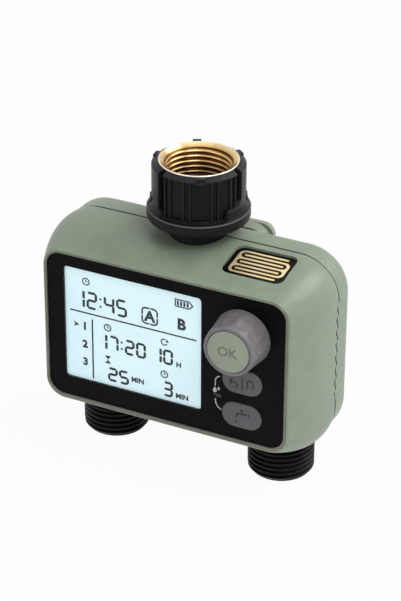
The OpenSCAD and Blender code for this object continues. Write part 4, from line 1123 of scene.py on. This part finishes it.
def comb_outline(rows):
    """Outline of a comb that points right, in x and z: the rounded outer corners of its bus, and for
    each row a straight line with a half-round tip, with half-round bays between the rows."""
    first, last = rows[0] * TRACK_PITCH + TRACK_W / 2, rows[-1] * TRACK_PITCH - TRACK_W / 2
    bay = TRACK_PITCH - TRACK_W / 2
    free = TRACK_REACH - BUS_W - bay
    parts = [arc((-TRACK_REACH + BUS_R, first - BUS_R), BUS_R, 180, 90)]
    for row, below in zip(rows, (*rows[1:], None)):
        tip = free + (0.4 if abs(row) == 3 else 0)
        parts.append(arc((tip, row * TRACK_PITCH), TRACK_W / 2, 90, -90, 12))
        if below is not None:
            middle = (row + below) / 2 * TRACK_PITCH
            parts.append(arc((-TRACK_REACH + BUS_W + bay, middle), bay, 90, 270, 20))
    parts.append(arc((-TRACK_REACH + BUS_R, last + BUS_R), BUS_R, 270, 180))
    return np.concatenate(parts)


def comb_tracks():
    """Two combs that mesh without touching, 0.15 mm proud of the sloping plate."""
    combs = [comb_outline((3, 1, -1, -3)), -comb_outline((2, 0, -2))]
    parts = []
    for flat in combs:
        points, faces = plate(flat + [0.15, 0], -0.15, 0.02)
        parts.append((on_sensor(points), faces))
    made = solid("gold_comb_tracks", parts)
    return dressed(made, "timer", gold_plate, ["rain_sensor_tracks"])


comb_tracks()

# ---------- the display ----------

LCD_Y = lcd_low[1]
# Width of the display's rules
RULE = 0.66


def display_marks():
    """Everything the display shows, laid out round the places found for the clock, the boxed
    letter and the battery sign: plain figures, zone letters, row numbers, units and rules."""
    lcd = frame["nodes"]["lcd_module"]
    clock = seen_at("clock_digits", lcd)
    boxed = seen_at("boxed_letter", lcd)
    battery = seen_at("battery_sign", lcd)
    left, foot = clock[0] - 9.6, clock[1] - 3.9
    shapes = figures("i2:45", left, foot, foot + 7.8, 5.5, 4.8)
    SHOWN["clock_digits"] = at_depth(np.concatenate(shapes), LCD_Y - INK)
    # Zone letters, the first one in a box whose sides break half way
    loop = ring_stroke(rounded_outline(6.6, 6.9, 1.6, boxed, side=9, top=9, corner=6), 0.72)
    shapes += [side for side in loop if np.abs(side.mean(0) - boxed).min() > 0.15]
    SHOWN["boxed_letter"] = at_depth(np.concatenate(loop), LCD_Y - INK)
    shapes += lettering("A", 5.0, boxed, 0.2)
    shapes += lettering("B", 5.0, boxed + [13.95, -0.1], 0.22)
    # Battery sign: rounded case with a pointed end and four bars
    case = battery + [[-3.6, -1.5], [2.4, -1.5], [3.9, 0], [2.4, 1.5], [-3.6, 1.5]]
    shapes += ring_stroke(case, 0.55)
    SHOWN["battery_sign"] = at_depth(case, LCD_Y - INK)
    shapes += [bar(battery + [x, -1.0], battery + [x, 1.0], 0.88) for x in (-2.5, -1.1, 0.3, 1.7)]
    # Rules
    level = clock[1] - 6.05
    shapes.append(bar((clock[0] - 15.3, level), (clock[0] + 40.4, level), RULE))
    shapes.append(bar((clock[0] - 5.4, level - 2.3), (clock[0] - 5.4, level - 29.3), RULE))
    # Row numbers with the arrow that marks the first
    row_x, row_z = clock[0] - 8.8, level - 6.1
    for k in range(3):
        shapes += lettering(str(k + 1), 3.6, (row_x, row_z - 8.1 * k), 0.18)
    tip, back, notch = (row_x - 2.5, row_z + 0.1), row_x - 5.0, row_x - 4.3
    shapes += [
        np.array([(back, row_z - 1.15), tip, (notch, row_z + 0.1)]),
        np.array([(notch, row_z + 0.1), tip, (back, row_z + 1.35)]),
    ]
    # Start time, duration, interval and next start, each under a small sign
    table = np.array([clock[0] + 0.2, level])
    shapes += figures("i7:20", table[0], level - 14.3, level - 7.4, 5.0, 4.4)
    shapes += figures("25", table[0] + 1.0, level - 28.4, level - 22.0, 5.0, 4.5)
    shapes += figures("i0", table[0] + 24.1, level - 14.1, level - 7.3, 4.9, 4.4)
    shapes += figures("3", table[0] + 25.6, level - 28.7, level - 21.8, 4.9, 4.4)
    shapes += lettering("MIN", 2.4, table + [14.4, -24.9], 0.1)
    shapes += lettering("H", 2.4, table + [32.5, -12.9], 0.1)
    shapes += lettering("MIN", 2.4, table + [34.0, -27.1], 0.1)
    shapes += clock_sign(table + [1.2, -4.3]) + hourglass_sign(table + [1.2, -18.8])
    shapes += loop_sign(table + [26.2, -4.3]) + clock_sign(table + [26.2, -18.8])
    shapes += clock_sign(clock + [-7.9, 8.0])
    return marks("display_figures", shapes, LCD_Y, "timer", segment_dark)


def clock_sign(at):
    """Round clock face with two hands."""
    at = np.asarray(at)
    ring = ring_stroke(rounded_outline(2.9, 2.9, 1.449, at, corner=6), 0.5)
    return ring + [bar(at - [0, 0.2], at + [0, 0.9], 0.4), bar(at - [0.2, 0], at + [0.75, 0], 0.4)]


def hourglass_sign(at):
    """Hourglass: two caps, and two triangles that meet in the middle."""
    at = np.asarray(at)
    lines = [bar(at + [-1.2, s * 1.5], at + [1.2, s * 1.5], 0.45) for s in (-1, 1)]
    lines += [np.array([at + [-1.0, s * 1.4], at + [1.0, s * 1.4], at])[::s] for s in (-1, 1)]
    return lines


def loop_sign(at):
    """Open circle that ends in an arrow head."""
    at = np.asarray(at)
    ring = stroke(arc(at, 1.3, 50, 340, 14), 0.5)
    return ring + [np.array([at + [0.6, 0.2], at + [2.0, 0.1], at + [1.4, 1.5]])]


display_marks()

# ---------- signs on the panel, the keys and the push button ----------


def panel_marks():
    """Two arcs that join the keys round a pair of water drops, screen printed on the panel."""
    x, z = seen_at("drop_mark", frame["nodes"]["front_panel"])
    line = 0.42
    white = stroke([(x + 1.9, z + 6.75), (x + 0.9, z + 6.3), (x, z + 5.2), (x - 0.1, z + 2.1)], line)
    white += stroke([(x, z - 3.6), (x + 0.25, z - 5.6), (x + 1.1, z - 7.2), (x + 2.6, z - 8.1)], line)
    drops = drop((x - 0.25, z - 0.1), 0.85) + drop((x + 1.4, z + 0.95), 0.5)
    SHOWN["drop_mark"] = at_depth(np.concatenate(drops), panel_low[1] - INK)
    white += drops
    marks("panel_print", white, panel_low[1], "timer", ink_white)
    dim = [bar((x - 0.9, z - 1.7), (x + 2.3, z - 1.7), 0.5), bar((x + 0.3, z - 2.3), (x + 2.6, z - 2.3), 0.6)]
    marks("panel_dim_print", dim, panel_low[1], "timer", ink_blue)


def drop(at, size):
    """Water drop: a half circle below and a curve drawn in to a point above."""
    at = np.asarray(at, float)
    t = np.linspace(np.pi, 2 * np.pi, 12)[:, None]
    low = at + size * np.concatenate([np.cos(t), np.sin(t)], -1)
    s = np.linspace(0, 1, 6)[1:, None]
    right = at + size * np.concatenate([np.cos(s * np.pi / 2), 2.1 * s], -1)
    left = right[:-1][::-1] * [-1, 1] + [2 * at[0], 0]
    return [np.concatenate([low, right, left])]


def key_marks():
    """Back arrow, bar and padlock bow on the upper key, and a tap with a drop on the lower one."""
    x, z = seen_at("upper_button_mark", upper_key)
    line = 0.62
    back = stroke([(x - 4.4, z + 1.9), (x - 5.6, z + 0.5), (x - 4.9, z - 1.1)], line)
    tail = [(-5.4, 0.5), (-3.4, 0.1), (-2.3, -0.8), (-2.6, -1.8), (-4.0, -2.0)]
    back += stroke(np.array([x, z]) + tail, line)
    back.append(bar((x - 0.3, z + 2.7), (x - 0.3, z - 2.9), 0.6))
    bow = arc((x + 3.05, z + 0.9), 1.25, 0, 180, 8)
    back += stroke([(x + 4.3, z - 1.6)] + list(bow) + [(x + 1.8, z - 1.6)], line)
    SHOWN["upper_button_mark"] = at_depth(np.concatenate(back), upper_low[1] - INK)
    marks("upper_key_print", back, upper_low[1], "back_lock_button", ink_black)
    x, z = seen_at("lower_button_mark", lower_key)
    tap = stroke([(x - 0.9, z + 2.6), (x + 0.6, z + 2.6)], 0.5)
    tap += stroke([(x - 0.1, z + 2.5), (x - 0.1, z + 1.4)], line)
    tap += stroke([(x + 2.0, z + 0.9), (x - 1.2, z + 0.9), (x - 2.2, z + 0.4), (x - 2.5, z - 0.9)], 0.75)
    tap.append(bar((x + 2.9, z + 1.6), (x + 2.9, z - 0.1), 0.6))
    tap += drop((x - 2.5, z - 2.9), 0.45)
    SHOWN["lower_button_mark"] = at_depth(np.concatenate(tap), lower_low[1] - INK)
    marks("lower_key_print", tap, lower_low[1], "manual_button", ink_black)


def cap_mark():
    """The letters OK in the middle of the push button."""
    cap = frame["nodes"]["ok_button"]
    at = seen_at("ok_button_centre", cap)
    marks("cap_print", lettering("OK", 4.1, at, 0.06), ok_low[1], "ok_button", ink_olive)


panel_marks()
key_marks()
cap_mark()

# ---------- stage ----------


def seen_directly(tree):
    """1 for rays of the camera, of reflections and through clear parts, 0 for those of diffuse light."""
    path = node(tree, "LightPath")
    pair = {0: path.outputs["Is Camera Ray"], 1: path.outputs["Is Glossy Ray"]}
    first = node(tree, "Math", pair, operation="MAXIMUM")
    pair = {0: first, 1: path.outputs["Is Transmission Ray"]}
    return node(tree, "Math", pair, operation="MAXIMUM")


def lit_floor():
    """Pale floor that keeps the object's shadow but otherwise shows white to the camera and in
    reflections, mixed by Light Path and not by more light."""
    made, tree, surface = material("pale_floor", Roughness=0.9)
    slow = node(tree, "TexNoise", {"Vector": place(tree)}, Scale=0.002)
    pale = node(tree, "ValToRGB", {"Fac": slow}, zip(NOISE_SPAN, ("#f4f4f4", "#f6f6f6")))
    wire(tree, surface, {"Base Color": pale})
    glow = node(tree, "Emission", Strength=1.0)
    share = node(tree, "Math", {0: seen_directly(tree)}, operation="MULTIPLY")
    share.inputs[1].default_value = 0.95
    both = {0: share, 1: surface, 2: glow}
    mix = node(tree, "MixShader", both)
    wire(tree, tree.nodes["output"], {"Surface": mix})
    return made


def stage():
    """Floor that curves up into a backdrop, as a profile drawn out along x."""
    level = outlet_low[2] - 0.05
    turn = np.linspace(0, np.pi / 2, 16)
    run = [(-3000, level), (1500, level)]
    run += [(1500 + 800 * math.sin(a), level + 800 - 800 * math.cos(a)) for a in turn[1:]]
    run += [(2300, 4000)]
    points = np.array([[x, y, z] for y, z in run for x in (-4000, 4000)])
    faces = grid_faces(len(run), 2, closed_columns=False)
    mesh = bpy.data.meshes.new("floor")
    mesh.from_pydata((points * MM).tolist(), [], faces.tolist())
    made = placed("floor", mesh)
    made.data.materials.append(lit_floor())
    made.data.shade_smooth()


def softbox(name, azimuth, elevation, distance, size, power):
    """Square area lamp aimed at the middle of the object, placed as the camera is."""
    away = direction(azimuth, elevation)
    data = bpy.data.lights.new(name, "AREA")
    data.shape, data.size, data.energy = "SQUARE", size, power
    lamp = placed(name, data)
    lamp.location = AIM + away * distance
    lamp.rotation_euler = away.to_track_quat("Z", "Y").to_euler()


# Strength of the surroundings as light, beside the softboxes
WORLD_LIGHT = 0.22


def world():
    """Even pale surroundings: white to the camera, in gloss and through glass, softer as light."""
    made = bpy.data.worlds.new("studio")
    bpy.context.scene.world = made
    made.use_nodes = True
    tree = made.node_tree
    tree.nodes.clear()
    level = node(tree, "MapRange", {"Value": seen_directly(tree)}, To_Min=WORLD_LIGHT, To_Max=1.0)
    back = node(tree, "Background", {"Strength": level}, Color=linear("#ffffff"))
    node(tree, "OutputWorld", {"Surface": back})


add_camera()
stage()
world()
softbox("key", 56, 52, 1.1, 0.6, 4.9)
softbox("sheen", 132, 42, 1.1, 0.7, 5.4)
softbox("fill", -35, 30, 1.3, 0.9, 2.0)
softbox("top", 10, 85, 1.2, 0.9, 1.0)
bpy.context.scene.view_settings.view_transform = "Standard"

# ---------- measures of the finished scene ----------


def finished_points(piece):
    """Vertices of a finished piece, in metres."""
    mesh = piece.evaluated_get(bpy.context.evaluated_depsgraph_get()).data
    flat = np.empty(len(mesh.vertices) * 3)
    mesh.vertices.foreach_get("co", flat)
    return flat.reshape(-1, 3)


def in_photograph(points):
    """Where points show in the photograph: their offsets along the camera's right and up axes, over
    their distance along its view, times the lens."""
    right, up, back = (np.array(axis) for axis in camera_axes())
    offset = points - np.array(EYE)
    scale = max(PHOTO) * LENS / SENSOR / -(offset @ back)
    return np.stack([PHOTO[0] / 2 + offset @ right * scale, PHOTO[1] / 2 - offset @ up * scale], -1)


def shows(spot):
    """Whether the camera's ray to a point meets nothing before it, the clear window apart."""
    graph = bpy.context.evaluated_depsgraph_get()
    start, spot = EYE, Vector(spot)
    toward = (spot - start).normalized()
    for _ in range(3):
        hit, at, _, _, thing, _ = bpy.context.scene.ray_cast(graph, start, toward)
        if not hit or (at - spot).length < 0.3 * MM:
            return True
        if thing.name != frame["nodes"]["display_window"].name:
            return False
        start = at + toward * 0.01 * MM
    return False


def how_far(name, points, rule):
    """How far what shows lies from its image point in x and y: an outermost vertex that shows for an
    edge, the nearest one for a corner, and the middle of all that show for a mark."""
    flat, wanted = in_photograph(points), np.array(IMAGE_POINTS[name])
    away = np.linalg.norm(flat - wanted, axis=1)
    order = {
        "left": flat[:, 0], "right": -flat[:, 0], "top": flat[:, 1], "foot": -flat[:, 1],
        "corner": away, "middle": away,
    }[rule]
    seen = [flat[i] for i in np.argsort(order)[: 60 if rule != "middle" else None] if shows(points[i])]
    if rule == "middle":
        found = (np.min(seen, 0) + np.max(seen, 0)) / 2
    else:
        found = seen[0]
    off = np.round(found - wanted, 2).tolist()
    return {"left": off[:1], "right": off[:1], "top": [None, off[1]], "foot": [None, off[1]]}.get(rule, off)


def write_measures():
    """Works out how true the image points are; a point that fails is only noted."""
    nodes = frame["nodes"]
    bpy.context.view_layer.update()
    cap = finished_points(nodes["ok_button"])
    things = {
        "left_side_x": (finished_points(shell), "left"),
        "right_side_x": (finished_points(nodes["rear_housing"]), "right"),
        "inlet_rim_top_y": (finished_points(bpy.data.objects["threaded_brass_ferrule"]), "top"),
        "right_outlet_foot_y": (finished_points(bpy.data.objects["threaded_outlet_right"]), "foot"),
        "ok_button_centre": (cap[cap[:, 1] < cap[:, 1].min() + 0.1 * MM], "middle"),
        "sensor_pocket_left": (finished_points(shell), "corner"),
        "sensor_pocket_back": (finished_points(shell), "corner"),
    }
    panel = finished_points(nodes["front_panel"])
    things.update({name: (panel, "corner") for name in IMAGE_POINTS if name.startswith("window")})
    things.update({name: (points * MM, "middle") for name, points in SHOWN.items()})
    result = {}
    for name in IMAGE_POINTS:
        try:
            result[name] = how_far(name, *things[name])
        except Exception as fault:
            result[name] = f"not measured: {fault}"


write_measures()
